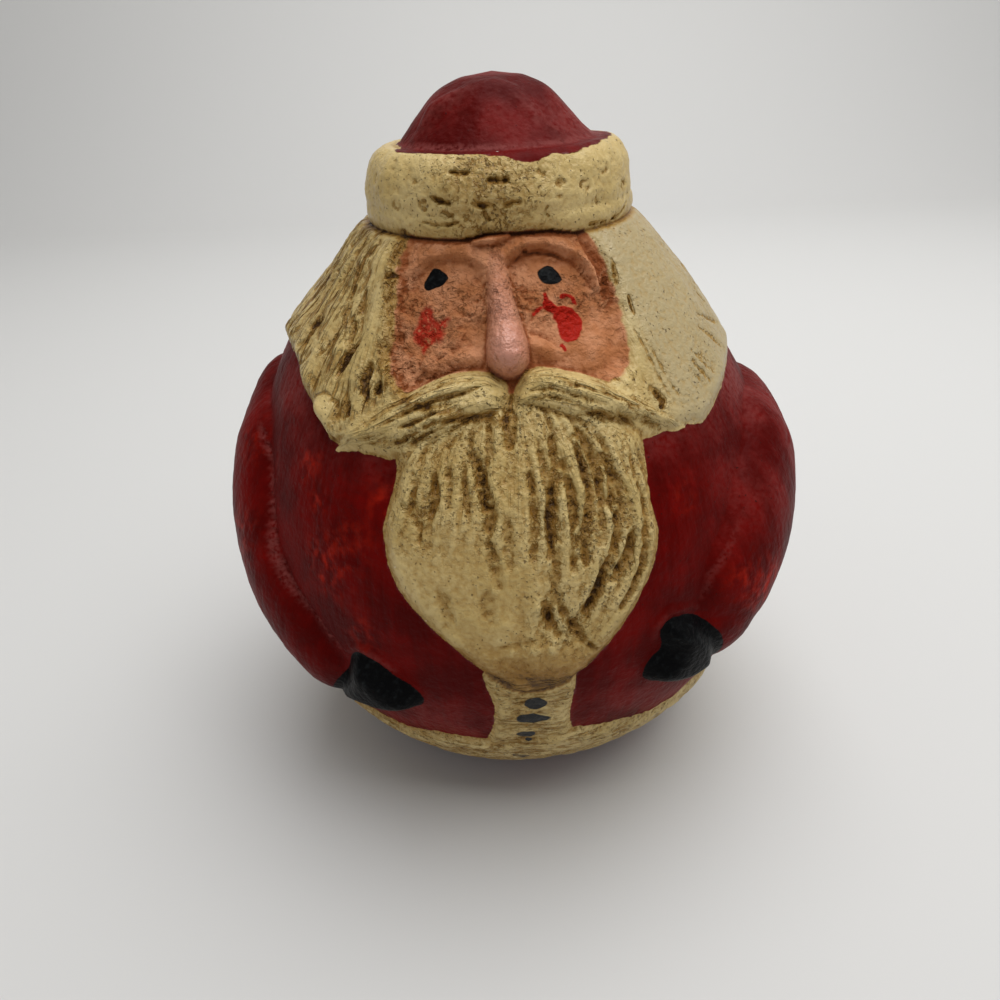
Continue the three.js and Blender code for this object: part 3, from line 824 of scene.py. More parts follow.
# %% Strands, scratches, a tear and a ball-like end
# Cuts: a line of [azimuth, z], half width and depth in millimetres.
HAIR_CUTS = [
    ([(-66, 141), (-67, 135), (-68.4, 127)], 0.9, 0.5),
    ([(-74, 136), (-74, 131), (-75, 126)], 0.9, 0.5),
    ([(-58.6, 138), (-57.3, 134), (-56, 129)], 0.8, 0.6),
    ([(-46.6, 137), (-49, 132)], 1.3, 0.5),
    ([(-51, 130.5), (-49.5, 126)], 1.1, 0.7),
    ([(-46, 127.5), (-44.5, 123.5)], 0.9, 0.9),
    ([(-47.5, 132), (-41.5, 125.5)], 0.7, 0.4),
    ([(-76, 123), (-79, 117.5)], 1.6, 0.9),
    ([(-60, 125.5), (-63.5, 122)], 1.0, 0.9),
    ([(-60.5, 124), (-64, 117.5)], 0.8, 0.5),
    ([(-50, 124), (-54, 118.3)], 0.7, 0.6),
    ([(-40.5, 124.5), (-43, 121), (-44, 117)], 1.1, 0.9),
    ([(-54, 141), (-53, 135), (-52, 130)], 0.8, 0.4),
    ([(-62, 143), (-61.5, 137), (-62, 131)], 0.8, 0.4),
    ([(-70, 122), (-72, 118)], 0.8, 0.4),
    ([(-57, 119), (-60, 115)], 0.8, 0.5),
    ([(-36.5, 137.2), (-38.5, 135.8)], 0.9, 1.4),
    ([(-34.6, 121), (-35.4, 117.5), (-33.6, 114)], 1.3, 1.4),
    ([(-31.5, 118), (-31, 115.5)], 1.4, 1.1),
    ([(-38, 113.5), (-37, 110.5)], 1.0, 0.9),
    ([(-50, 111.4), (-45, 113.4), (-40.5, 112), (-39.6, 109)], 0.8, 0.5),
    ([(-48, 108.6), (-43, 106.6), (-40, 105.9), (-37, 107.4)], 0.8, 0.7),
    ([(66, 122.3), (78, 116.8)], 0.7, 0.5),
    ([(61.5, 120.8), (69.5, 113.8)], 0.7, 0.6),
    ([(64, 119.5), (69, 115.5)], 0.6, 0.4),
    ([(53, 118), (57.5, 111.8)], 0.8, 0.6),
    ([(51, 116.6), (54, 111)], 0.8, 0.6),
    ([(55, 117), (59.5, 112.5)], 0.7, 0.5),
    ([(49, 115), (51.5, 111.5)], 0.7, 0.4),
    ([(40.7, 138.6), (38.3, 133.6)], 0.7, 0.9),
    ([(40.1, 131.3), (39.2, 127.8)], 0.7, 0.9),
    ([(36.8, 126), (37.9, 119.3), (38.9, 112)], 0.8, 0.4),
    ([(38.8, 124), (40.5, 117), (41.5, 111)], 0.8, 0.3),
    ([(34.2, 115.2), (36.5, 112), (35, 110.6)], 1.3, 1.2),
    ([(86, 131), (82, 126), (84, 121)], 0.8, 0.5),
    ([(79, 128), (77, 124), (79, 121)], 0.7, 0.4),
]
HAIR_LUMPS = [
    (-45.5, 109.8, 3.2, 1.9), (-37.8, 137.6, 0.9, 0.8), (-56, 113.5, 3, 0.4), (-47, 121.5, 1.6, 0.5),
    (-61, 127, 1.8, 0.5), (-45, 116, 3.5, 0.35),
]

BALL_LIKE_END = (-45.5, 109.8, 5, 1.2)

around = np.radians(spots.azimuth) * STRAND_RADIUS
wisps = furrows(around, spots.up, width=2.6, length=26, seed=73)
fine_wisps = furrows(around, spots.up, width=1.3, length=14, seed=75)
# The right side, the roll and the ball-like end are left almost uncombed.
combed_hair = 1 - stretch(spots.azimuth, 20, 40, 76, 110)
combed_hair *= 1 - 0.8 * ridge(HAIR_ROLL, roundness=0.4)
combed_hair *= 1 - np.minimum(swell([BALL_LIKE_END]), 1)
hair_cuts = 0.28 * cracks(wisps, sharpness=4.5, seed=74) + 0.1 * valleys(fine_wisps)
hair_cuts = combed_hair * hair_cuts
hair_scratches = crumbly * carve(HAIR_CUTS)
hair_cuts = hair_cuts + hair_scratches
hair_crumbs = 0.04 + 0.05 * combed_hair + 0.08 * smoothstep(hair_cuts, 0.1, 0.5)
hair_marks = swell(HAIR_LUMPS) - hair_cuts + hair_crumbs * lumps(1.6, seed=77, octaves=2)
hair_marks = hair_marks + 0.25 * lumps(9, seed=79)
tell("its cuts go in", hair_cuts)

# %% [markdown]
# ## The face
#
# The face is pressed in between the hair. It has a brow over each socket, a long nose with a wing on
# each side, and rough skin under the eyes. The eyes and cheeks are only paint, so no relief is made
# for them. A separate head mesh would leave a seam, and the real one has none.

# %% Forehead, brows and sockets
FACE_DEPTH = -1.4
FACE_RIM_RISE = 1.3
FOREHEAD_RISE = 1.5
EYE_SOCKET_DEPTH = -1.9
BROW_RISE = 1.25
FACE_EDGE = [
    (-39, 149), (-38, 142), (-35.8, 136), (-32.6, 128), (-31.4, 122.5), (-27, 118), (-20, 115.5),
    (0, 114), (20, 117), (31.5, 119.6), (34.2, 125), (37.8, 134), (38, 141), (33, 149),
]
# The forehead's edge runs along the underside of both brows and over the top of the nose.
FOREHEAD_EDGE = [
    (-42, 149), (-40, 138), (-36, 136.4), (-32, 137.8), (-27, 140.4), (-21, 141.3), (-14, 141.4),
    (-8.5, 140.3), (-5.5, 137.5), (0, 137), (2.2, 140.6), (7.4, 142.4), (13.3, 142.9), (20, 142.2),
    (26.9, 140.4), (30, 138), (31.2, 133.6), (33.2, 133.6), (34, 138.5), (33, 143), (33, 149),
]
LEFT_BROW = [
    (-36, 137.5, 2.8, 0.5), (-28, 141.6, 3.2, 0.8), (-16, 142.6, 3.2, 0.8), (-7, 141, 2.8, 0.7),
]
RIGHT_BROW = [
    (2, 141.8, 2.4, 0.7), (9, 143.8, 2.6, 1), (20, 143.3, 2.6, 1), (27.6, 140.9, 2.6, 1),
    (31.4, 137, 2.2, 0.9), (32, 133, 1.4, 0.5),
]
LEFT_SOCKET = [(-28, 137.5, 4, 0.8), (-12, 136.5, 4.4, 1)]
RIGHT_SOCKET = [(8, 138.5, 4.2, 1), (24, 137.5, 4, 0.9)]

face_depth = depth_inside(FACE_EDGE) + 0.3 * lumps(2.5, seed=80)
forehead_depth = depth_inside(FOREHEAD_EDGE)
right_half = smoothstep(spots.azimuth, -3, 2)
forehead = smoothstep(forehead_depth, lerp(-1.2, -0.3, right_half), lerp(1.6, 0.9, right_half))
brows = BROW_RISE * np.maximum(0.6 * ridge(LEFT_BROW, roundness=1.5), ridge(RIGHT_BROW, roundness=1.5))
sockets = np.maximum(ridge(LEFT_SOCKET, roundness=1), ridge(RIGHT_SOCKET, roundness=1)) * (1 - forehead)
tell("brows stand out", brows)

# %% Nose and wings
NOSE_RISE = 8
WING_RISE = 2.6
NOSE = [
    (-1.4, 141.5, 2.0, 0.22), (-0.9, 135.5, 2.8, 0.5), (0, 130, 3.7, 0.78), (0.4, 126, 4.5, 1),
    (0.4, 124, 4.6, 1),
]
# A low wide ridge beneath the nose carries its sides softly into the cheeks.
FLANK_RISE = 2.4
FLANKS = [(-1.5, 140, 4, 0.5), (-0.5, 132, 7, 0.9), (0, 125, 9, 1)]
FACE_SOFTNESS = 0.8
LEFT_WING = [(-14, 123.8, 2.4, 0.6), (-10, 124.4, 3, 0.8), (-7.5, 124.2, 2.6, 0.8)]
RIGHT_WING = [(7.5, 126, 2.6, 0.9), (11, 125, 2.8, 0.8), (14.2, 124.2, 1.8, 0.5)]

nose = NOSE_RISE * ridge(NOSE) * (1 + 0.03 * lumps(4, seed=84) + 0.012 * lumps(1.6, seed=85))
wings = WING_RISE * np.maximum(ridge(LEFT_WING, roundness=1.3), ridge(RIGHT_WING, roundness=1))
brow_and_forehead = FOREHEAD_RISE * forehead + brows
flanks = FLANK_RISE * ridge(FLANKS, roundness=1.6)
above_cheeks = soft_max(brow_and_forehead, flanks, FACE_SOFTNESS)
features = soft_max(above_cheeks, soft_max(wings, nose, FACE_SOFTNESS), FACE_SOFTNESS)
face_rim = FACE_RIM_RISE * (1 - smoothstep(face_depth, 0, 5))
face = FACE_DEPTH + np.maximum(features, face_rim)
face = face + EYE_SOCKET_DEPTH * sockets * (1 - smoothstep(features, 0.2, 1.2))
tell("nose stands out", nose)

# %% Grooves and rough skin
FACE_GROOVES = [
    ([(1.6, 139.8), (7.4, 141.8), (13.3, 142.3), (20, 141.6), (26.6, 139.8), (30, 136.4)], 0.7, 1.1),
    ([(8.4, 142.4), (10.6, 142.7)], 1.0, 1.0),
    ([(-33, 137.4), (-27.5, 140.2), (-21, 141), (-13, 140.9), (-8, 139.6)], 1.0, 0.4),
    ([(35, 143), (36, 139), (36, 135), (34, 131)], 2.2, 0.6),
    ([(33.2, 142), (33.6, 138), (32.6, 134)], 0.6, 0.6),
    ([(-37.5, 141), (-36.4, 136.5)], 0.7, 0.5),
    ([(-35.6, 133), (-33.8, 128.5), (-34.2, 123)], 0.8, 0.5),
    ([(-31.5, 120.5), (-29.5, 118), (-26, 117.4)], 1.4, 0.8),
    ([(-5.8, 138), (-6.4, 133)], 0.8, 0.35),
    ([(-8, 131), (-9, 127.5)], 1.0, 0.3),
    ([(3.2, 139), (5, 133.5), (6.2, 128.5)], 0.8, 0.5),
    ([(6.8, 128.2), (10.5, 127.8), (15, 124.8)], 0.6, 0.45),
    ([(-18, 124), (-13, 121.8), (-8, 121.4)], 0.7, 0.35),
    ([(6.3, 124.5), (6.8, 121.8)], 0.6, 0.7),
    ([(-6, 123.5), (-6.8, 121)], 0.6, 0.5),
    ([(4, 139.4), (7, 138.6), (10, 139.3)], 0.6, 0.5),
    ([(4.6, 137.2), (7.4, 136.6), (9.4, 137.4)], 0.6, 0.4),
    ([(5, 135), (9, 134), (12, 135)], 0.6, 0.4),
    ([(6.6, 132.6), (9, 132), (11, 130.4)], 0.6, 0.35),
    ([(-18, 137), (-14, 136), (-12, 137.4)], 0.6, 0.4),
    ([(-21, 136.4), (-17, 134.6), (-13, 134.8)], 0.6, 0.4),
    ([(-24, 134.6), (-18, 133.4), (-13, 133.2)], 0.6, 0.35),
    ([(20, 140.4), (25, 138), (28.5, 135)], 0.6, 0.3),
    ([(-14, 132), (-9, 131.4)], 0.6, 0.35),
    ([(-15, 129.6), (-9.5, 129.4)], 0.6, 0.35),
]
# Where orange-brown shows through the pink: azimuth, height, half width and share.
UMBER_PLACES = [
    [(33.5, 144.5, 2.2, 0.7), (36, 139, 2.6, 1), (36, 135, 2.4, 1), (34.2, 130.5, 1.6, 0.7)],
    [(-32, 121, 2.0, 1), (-29, 118, 2.2, 1), (-25, 118, 1.6, 0.6)],
    [(-37.5, 141, 1.6, 0.7), (-34.5, 132, 1.6, 0.8), (-32.6, 123, 1.8, 0.9)],
    [(5, 140.5, 1.4, 0.5), (14, 141.8, 1.6, 0.7), (26, 139.5, 1.4, 0.5)],
    [(4.6, 137, 2.4, 0.6), (8, 134, 2.6, 0.5), (9.5, 130.5, 2.2, 0.5)],
]
CHEEK_LUMPS = [
    (-17, 124.5, 2.2, 0.5), (-20.5, 122, 2, 0.6), (-25, 121.5, 2.2, 0.5), (-29, 124, 2, 0.4),
    (-14, 128, 1.6, 0.4), (22, 124, 5, 0.8), (-30, 119, 1.6, 0.9), (-31.5, 121.8, 1.2, 0.6),
]

face_grooves = carve(FACE_GROOVES)
off_nose = 1 - smoothstep(nose + wings, 0.3, 1.5)
under_eyes = stretch(spots.z, 129, 132, 137, 140) * (1 - forehead)
left_cheek = smoothstep(-spots.azimuth, 8, 16) * (1 - smoothstep(spots.z, 129, 134))
roughness_of_skin = 0.25 + 0.75 * np.maximum.reduce([under_eyes, left_cheek, 0.3 * forehead])
wrinkles = np.abs(noise(spots.point * np.array([0.34, 0.34, 0.85]), 81))
skin_lumps = 0.6 * lumps(1.9, seed=83, octaves=2) - 0.5 * (1 - wrinkles) ** 7
face_marks = off_nose * roughness_of_skin * skin_lumps + 0.25 * off_nose * lumps(6, seed=87)
face_marks = face_marks + 0.7 * off_nose * left_cheek * lumps(3.2, seed=88)
face_marks = face_marks - face_grooves * crumbly + 1.5 * swell(CHEEK_LUMPS) * off_nose
umber = np.maximum.reduce([ridge(place, roundness=1.2) for place in UMBER_PLACES])
tell("grooves of the face go in", face_grooves)

# %% [markdown]
# ## The hat
#
# The band is a fat roll, wound once round the head. The maker stippled it, punched rings into it
# with a tube and jabbed gashes near the middle. The cap above is a soft dome with a flat in front.

# %% Band and cap
HAT_BAND_RISE = 3.3
HAT_BAND_BOTTOM_Z = 145
HAT_BAND_TOP_Z = 160.5
BAND_OVER_CAP = 0.3
FRONT_LIFT = 1.0
CAP_WAIST = -1.4
CAP_TOP_RISE = 0.8
# A soft ridge runs over the cap and leaves a flatter face below it in front.
CAP_RIDGE = [
    (-57, 163.5, 3.5, 0.8), (-53, 167.7, 3.5, 1), (-43, 170.2, 3, 1), (-23, 172, 3, 0.8),
    (3, 172.3, 3, 0.7), (21, 171.4, 3, 0.9), (32, 168.5, 3, 1), (40, 164.5, 3, 0.8),
]

band_bottom = HAT_BAND_BOTTOM_Z + FRONT_LIFT * smoothstep(24 - np.abs(spots.azimuth - 8), 0, 14)
band_middle = (band_bottom + HAT_BAND_TOP_Z) / 2
band_share = (spots.z - band_middle) / (HAT_BAND_TOP_Z + BAND_OVER_CAP - band_middle)
band_front = 1 + 0.2 * np.cos(np.radians(spots.azimuth))
band_lumps = 0.25 * np.sin(np.radians(5 * spots.azimuth) + 1) + 0.3 * lumps(9, seed=90)
# The roll is rounder below, where the cone widens under it, and squarer above.
roll_below = np.clip(1 - np.abs(band_share) ** 3, 0, 1)
roll_above = np.clip(1 - band_share**4, 0, 1) ** 0.5
roll = np.where(band_share < 0, roll_below, roll_above)
band = (HAT_BAND_RISE * band_front + band_lumps) * roll
on_cap = smoothstep(spots.z, HAT_BAND_TOP_Z, 163)
dome_share = np.clip((spots.z - HAT_BAND_TOP_Z) / (TOP_Z - HAT_BAND_TOP_Z), 0, 1)
# The cap rises from a waist just inside the band, and its top is flatter than a plain dome.
dome = CAP_WAIST * stretch(spots.z, 160.3, 162.3, 163, 171.5)
dome = dome + CAP_TOP_RISE * stretch(spots.z, 167, 172, 173, 175)
flats = 0.4 * np.cos(np.radians(4 * spots.azimuth)) * on_cap * (1 - smoothstep(spots.z, 170, 175))
cap_ridge = ridge(CAP_RIDGE, roundness=1.5)
front_flat = 0.5 * bell(spots.azimuth, 38) * np.sin(np.pi * dome_share)
cap_wear = 0.7 * cap_ridge - front_flat + swell([(-60, 168.5, 3.5, 0.9)])
hat = band + flats + dome + cap_wear * on_cap
tell("hat band stands out", band)

# %% Punched rings, gashes and a stray lump of clay
RING_RADIUS = 1.0
RING_WIDTH = 0.4
RING_DEPTH = 0.55
RIM_RADIUS = 1.8
# Azimuth, height and how clearly the ring shows.
PUNCHED_RINGS = [
    (37.5, 153.1, 1), (49.9, 155.6, 1), (64.1, 151.2, 0.9), (44.6, 149.9, 0.6), (78.9, 155.6, 0.7),
    (-60.4, 154.7, 0.6), (-43.9, 150.4, 0.8), (-29.9, 150.9, 0.8), (-49, 157.7, 0.4),
    (-78, 151, 0.8), (-95, 155, 0.6), (100, 152, 0.8), (120, 155, 0.5), (142, 151, 0.8),
    (165, 155, 0.6), (-115, 151, 0.8), (-135, 155, 0.7), (-158, 152, 0.6),
]
GASHES = [
    ([(-19, 157), (-13.3, 156.8), (-9, 157.1)], 0.6, 0.9),
    ([(-26.5, 152.7), (-22.2, 151.8), (-18, 151.4)], 0.8, 1.2),
    ([(-3.5, 155.6), (5.5, 155.5)], 1.0, 1.0),
    ([(-9.5, 151.6), (-5.2, 151), (0, 151.3)], 0.9, 0.9),
    ([(0.5, 151.6), (4.2, 151), (9, 151.4)], 0.9, 0.9),
    ([(-22, 149.9), (-18.9, 149), (-16, 149.2)], 0.7, 0.8),
    ([(-31, 147.7), (-25.6, 147.2), (-19.6, 147.3), (-15, 148)], 0.6, 0.8),
    ([(-5, 149.8), (-3.3, 148.1)], 0.6, 0.8),
    ([(19.4, 150.4), (18.6, 149), (20.2, 148)], 0.5, 0.7),
    ([(38, 145.6), (49, 145.2)], 0.7, 0.9),
    ([(66, 147.5), (58, 145.5), (53, 145.4)], 0.6, 0.9),
    ([(17, 156.8), (20.5, 156.2)], 1.1, 0.6),
    ([(23.5, 154.5), (29, 153.8)], 1.3, 0.6),
    ([(21.5, 151.9), (26.5, 151.6)], 0.8, 0.35),
    ([(-36.5, 155.3), (-31.5, 155.3)], 1.1, 0.6),
    ([(2, 157.2), (6, 157.6)], 0.7, 0.5),
]
BAND_LUMPS = [(-22.5, 154.6, 1.3, 0.7), (-20, 155.5, 1.1, 0.5), (-24.5, 153.4, 1.0, 0.5)]
STRAY_CLAY = [(-9.8, 144.3, 1.0, 0.7), (-4, 144.6, 1.5, 1), (3.2, 145.3, 1.1, 0.7)]
STRAY_RISE = 3.6


def punched_rings():
    """Rings that a tube's end leaves: the clay inside sinks less, and a rim is thrown up outside."""
    depth = np.zeros(len(spots.z))
    for azimuth, z, clear in PUNCHED_RINGS:
        at = spots.near([(azimuth, z)] * 2, 3)
        off = np.hypot(*offsets_to(at, (azimuth, z)))
        pressed_in = bell(off - RING_RADIUS, RING_WIDTH) + 0.4 * (off < RING_RADIUS)
        depth[at] += clear * (pressed_in - 0.35 * bell(off - RIM_RADIUS, RING_WIDTH))
    return depth


# The tube was pressed in unevenly, so parts of each ring are missing.
uneven = smoothstep(lumps(1.8, seed=97), -0.5, 0.3)
ring_marks = punched_rings() * uneven
gashes = carve(GASHES) * np.clip(0.75 + 0.9 * lumps(1.8, seed=98, octaves=2), 0, 1.5)
band_middle_front = bell(spots.azimuth + 4, 20)
band_stipple = 0.3 * lumps(5, seed=92) + 0.16 * lumps(2.4, seed=91, octaves=2)
band_stipple = band_stipple + (0.03 + 0.12 * band_middle_front) * lumps(1.2, seed=93)
on_band = smoothstep(1 - np.abs(band_share), -0.02, 0.12)
band_marks = band_stipple - RING_DEPTH * ring_marks - gashes + swell(BAND_LUMPS)
stray = STRAY_RISE * ridge(STRAY_CLAY, roundness=0.8)
hat = hat + on_band * band_marks + (0.15 * lumps(12, seed=95) + 0.06 * lumps(4, seed=96)) * on_cap
tell("gashes go in", gashes)

# %% [markdown]
# ## Putting it together
#
# Whatever stands higher at a spot is what shows there, so the parts are joined with a maximum. A
# hard maximum leaves a jagged line where two parts meet, so a slightly softened one is used. The
# sum is then moved outwards from the plain figure, along the direction its surface faces.

# %% Join the parts
# Full places: azimuth, height, reach in degrees, reach in millimetres of height, and rise.
FULL_PLACES = [
    (-88, 114, 40, 15, 4.4),
    (88, 122, 40, 20, 1.9),
    (80, 159, 35, 4, 1.3),
]


def fullness():
    """How much fuller the hand-made figure is than a true ball and cone."""
    total = np.zeros(len(spots.z))
    for azimuth, z, reach, reach_z, rise in FULL_PLACES:
        total += rise * bell(spots.azimuth - azimuth, reach) * bell(spots.z - z, reach_z)
    return total * smoothstep(spots.z, 1, 20)


CREASE_UNDER_BAND = -0.4
TUCK_UNDER_BAND = 6
MITTEN_SOFTNESS = 1.2
# Clay dragged sideways under the left end of the moustache.
dragged = noise(spots.point * np.array([0.12, 0.12, 0.5]), 34)
dragged *= bell(spots.azimuth + 26, 9) * bell(spots.z - 100, 4)
coat_marks = trim_marks - creases * crumbs + 0.2 * lumps(11, seed=33) + 0.06 * lumps(3.5, seed=35, octaves=2)
coat_marks = coat_marks + 0.5 * dragged
coat = soft_max(soft_max(coat, mittens, MITTEN_SOFTNESS), cuffs) + coat_marks
in_face = smoothstep(face_depth, -1.5, 1.2)
head = lerp(soft_max(coat, hair + hair_marks), face + face_marks, in_face)
beard_full = beard + beard_marks * smoothstep(beard_depth, 0, 1.5)
moustache_full = moustache + moustache_marks * smoothstep(moustache_depth, 0, 1.2)
below_band = soft_max(head, soft_max(moustache_full, beard_full))
# Hair and forehead dip in where they meet the band, so that it overhangs them with a dark crease.
under_edge = smoothstep(spots.z - band_bottom, -1.5, 0.2)
below_band = lerp(below_band, np.minimum(below_band, CREASE_UNDER_BAND), under_edge)
below_band = soft_max(below_band, FACE_DEPTH + stray)
tucked_in = below_band - TUCK_UNDER_BAND * smoothstep(spots.z - band_bottom, 0, 1.5)
under_hat = soft_max(tucked_in, soft_max(hat, FACE_DEPTH + stray))
relief = fullness() + np.where(spots.z > band_bottom, under_hat, below_band)
relief *= smoothstep(spots.z, 0.5, 2) * (spots.z < TOP_Z - 0.01)
print("relief from", round(float(relief.min()), 1), "to", round(float(relief.max()), 1), "mm")


# %% Move each spot out
BAND_ELEVATION = 12


def outward_elevation(z):
    """Degrees above level of the direction that the relief stands out in."""
    round_part = np.degrees(np.arcsin(np.clip((z - BALL_CENTRE_Z) / BALL_DEPTH_BELOW, -1, 1)))
    cone = math.degrees(math.asin((CONE_START_Z - BALL_CENTRE_Z) / BALL_DEPTH_BELOW))
    under_band = lerp(cone, BAND_ELEVATION, smoothstep(z, 138, 150))
    above = lerp(under_band, 90, smoothstep(z, 154, TOP_Z + 3))
    return np.where(z < CONE_START_Z, round_part, above)


def surface_points(relief):
    lean = np.radians(outward_elevation(spots.z))
    turn = np.radians(spots.azimuth)
    radius = spots.radius + relief * np.cos(lean)
    x = radius * np.sin(turn) + HEAD_OFFSET_X * smoothstep(spots.z, 100, 170)
    return np.stack([x, -radius * np.cos(turn), spots.z + relief * np.sin(lean)], 1)


points = surface_points(relief)
print("figure spans", np.round(points.max(0) - points.min(0), 1), "mm")


# %% Faces between the rings
def quads_between(lower, upper, count):
    """Four-sided faces between two rings of the same count."""
    here = np.arange(count)
    beside = (here + 1) % count
    return np.stack([lower + here, lower + beside, upper + beside, upper + here], 1).tolist()


def triangles_between(lower, lower_azimuths, upper, upper_azimuths):
    """Three-sided faces between rings of different counts: it steps round the one that lags."""
    lower_count, upper_count = len(lower_azimuths), len(upper_azimuths)
    faces = []
    down = up = 0

    def next_azimuth(azimuths, index):
        return azimuths[(index + 1) % len(azimuths)] + 360 * ((index + 1) // len(azimuths))

    while down < lower_count or up < upper_count:
        lower_lags = next_azimuth(lower_azimuths, down) <= next_azimuth(upper_azimuths, up)
        below, above = lower + down % lower_count, upper + up % upper_count
        if up >= upper_count or (down < lower_count and lower_lags):
            down += 1
            faces.append((below, lower + down % lower_count, above))
        else:
            up += 1
            faces.append((below, upper + up % upper_count, above))
    return faces


def all_faces():
    starts = np.cumsum([0] + [len(azimuths) for _, azimuths in rings])
    foot, top = int(starts[-1]), int(starts[-1]) + 1
    faces = []
    for index in range(len(rings) - 1):
        lower_azimuths, upper_azimuths = rings[index][1], rings[index + 1][1]
        lower, upper = int(starts[index]), int(starts[index + 1])
        if len(lower_azimuths) == len(upper_azimuths):
            faces += quads_between(lower, upper, len(lower_azimuths))
        else:
            faces += triangles_between(lower, lower_azimuths, upper, upper_azimuths)
    first, last = len(rings[0][1]), len(rings[-1][1])
    faces += [(foot, (step + 1) % first, step) for step in range(first)]
    last_start = int(starts[-2])
    faces += [(last_start + step, last_start + (step + 1) % last, top) for step in range(last)]
    return faces


faces = all_faces()
triangles = sum(len(face) - 2 for face in faces)
print(len(faces), "faces,", triangles, "triangles")

# %% The figure's mesh
figure_mesh = bpy.data.meshes.new("painted_santa")
figure_mesh.from_pydata((points * MM).tolist(), [], faces)
figure_mesh.shade_smooth()
figure = bpy.data.objects.new("painted_santa", figure_mesh)
bpy.context.scene.collection.objects.link(figure)

# %% [markdown]
# ## Where the paint goes
#
# Each colour has an edge. For crisp edges on a mesh that is coarser than the brush line, every
# point stores how many millimetres inside each colour it lies, and the material cuts that number at
# zero. Painting face by face would give saw-toothed edges, and an image would need unwrapping.
# Recesses are found by comparing each point with the average of its neighbours, and the stain
# about them by averaging the depth of the cuts.

# %% Edges of the cream, the skin and the cap
# The red of the cap laps unevenly over the band.
CAP_EDGE_AZIMUTHS = [-180, -68, -54, -38, -8, 4, 11, 18, 25, 36, 44, 61, 180]
CAP_EDGE_HEIGHTS = [161.5, 161.4, 159.9, 160.1, 160.0, 159.2, 158.1, 158.1, 159.2, 158.8, 159.4, 160, 161.5]


def tell_cover(paint, depth):
    print(paint, "covers", round(100 * float((depth > 0).mean()), 1), "% of the points")


cap_edge_z = np.interp(spots.azimuth, CAP_EDGE_AZIMUTHS, CAP_EDGE_HEIGHTS)
cap_depth = spots.up - length_up_to(cap_edge_z)
band_depth = spots.up - length_up_to(band_bottom)
cream_depth = np.maximum.reduce([trim_depth, beard_depth, moustache_depth, hair_depth, band_depth])
cream_depth = np.minimum(cream_depth, -cap_depth)
skin_depth = np.minimum.reduce([face_depth, -moustache_depth, -beard_depth, -band_depth])
tell_cover("cream", cream_depth)
tell_cover("skin pink", skin_depth)

# %% Black eyes, buttons and mittens
LEFT_EYE = [
    (-26.6, 139.4), (-24.7, 139.9), (-19.4, 138.4), (-20.6, 137.2), (-23.6, 136.4),
    (-26.9, 135.9), (-28.3, 136.8), (-27.6, 138.1),
]
RIGHT_EYE = [
    (13.1, 138.9), (14.8, 139.6), (17.8, 139.9), (19.5, 139.2), (21.3, 137.2), (19.8, 136.7),
    (16.4, 136.6), (13.8, 137.2),
]
# Buttons: azimuth, height, half width and half height in millimetres, and how pointed on the right.
BUTTONS = [
    (2.8, 51.6, 2.6, 2.2, 0.3), (2.4, 45.6, 4.0, 2.0, 0.8), (0.8, 38.4, 2.2, 1.7, 0),
    (1.4, 35, 0.9, 1.1, 0),
]
FADED_BUTTON = (-0.5, 25, 2.4, 1.5, 0)
FADED_DEPTH = 0.05


def button_depth(azimuth, z, half_width, half_height, point):
    """Millimetres inside an ellipse whose right end may be drawn out to a point."""
    across, up = offsets_to(slice(None), (azimuth, z))
    across = -across / half_width
    up = -up / half_height * (1 + point * np.clip(across, 0, 2))
    return (1 - np.hypot(across, up)) * min(half_width, half_height)


eyes = np.maximum(depth_inside(LEFT_EYE, margin=3), depth_inside(RIGHT_EYE, margin=3))
black_depth = np.maximum(mitten_depth, eyes)
for button in BUTTONS:
    black_depth = np.maximum(black_depth, button_depth(*button))
black_depth = np.maximum(black_depth, np.minimum(button_depth(*FADED_BUTTON), FADED_DEPTH))
tell_cover("black", black_depth)

# %% Red dabs on the cheeks
LEFT_DAB_EDGE = [
    (-24.4, 133), (-22.6, 132.4), (-21.6, 130.9), (-16.9, 130.9), (-18.6, 129.4), (-17.6, 128.2),
    (-19, 126.8), (-21.8, 126.4), (-23.6, 124.2), (-25, 125.9), (-27.6, 127.6), (-27, 129.4),
    (-27.2, 131),
]
RIGHT_DAB_EDGE = [
    (16.7, 132.1), (19.9, 132.4), (22.2, 131.6), (23.1, 130.1), (22.6, 128.2), (21.2, 126.8),
    (19.3, 126), (17, 126.2), (15.4, 127.6), (15.6, 129.3), (15, 131),
]
# Strokes of the brush: azimuth, height and half width at each end.
CHEEK_STROKES = [
    [(16.2, 131.6, 1.0), (13.2, 133.2, 0.8)], [(13.2, 133.2, 0.6), (14.2, 135, 0.4)],
    [(13, 132.9, 0.6), (11, 132.6, 0.4)], [(11.2, 132.5, 0.6), (8.5, 131.3, 0.5)],
    [(19.4, 134.3, 0.4), (22, 133.9, 0.45)], [(22, 133.9, 0.4), (22.9, 132.6, 0.4)],
    [(15.6, 125.4, 0.3), (15.9, 124.6, 0.25)],
]


def stroke_depth(start, end):
    """Millimetres inside a round-ended brush stroke."""
    share, distance = nearest_on(offsets_to(slice(None), start), offsets_to(slice(None), end))
    return lerp(start[2], end[2], share) - distance


thin_dab = depth_inside(LEFT_DAB_EDGE, margin=4)
full_dab = np.maximum.reduce(
    [depth_inside(RIGHT_DAB_EDGE, margin=4)] + [stroke_depth(*stroke) for stroke in CHEEK_STROKES]
)
tell_cover("red on the cheeks", np.maximum(thin_dab, full_dab))

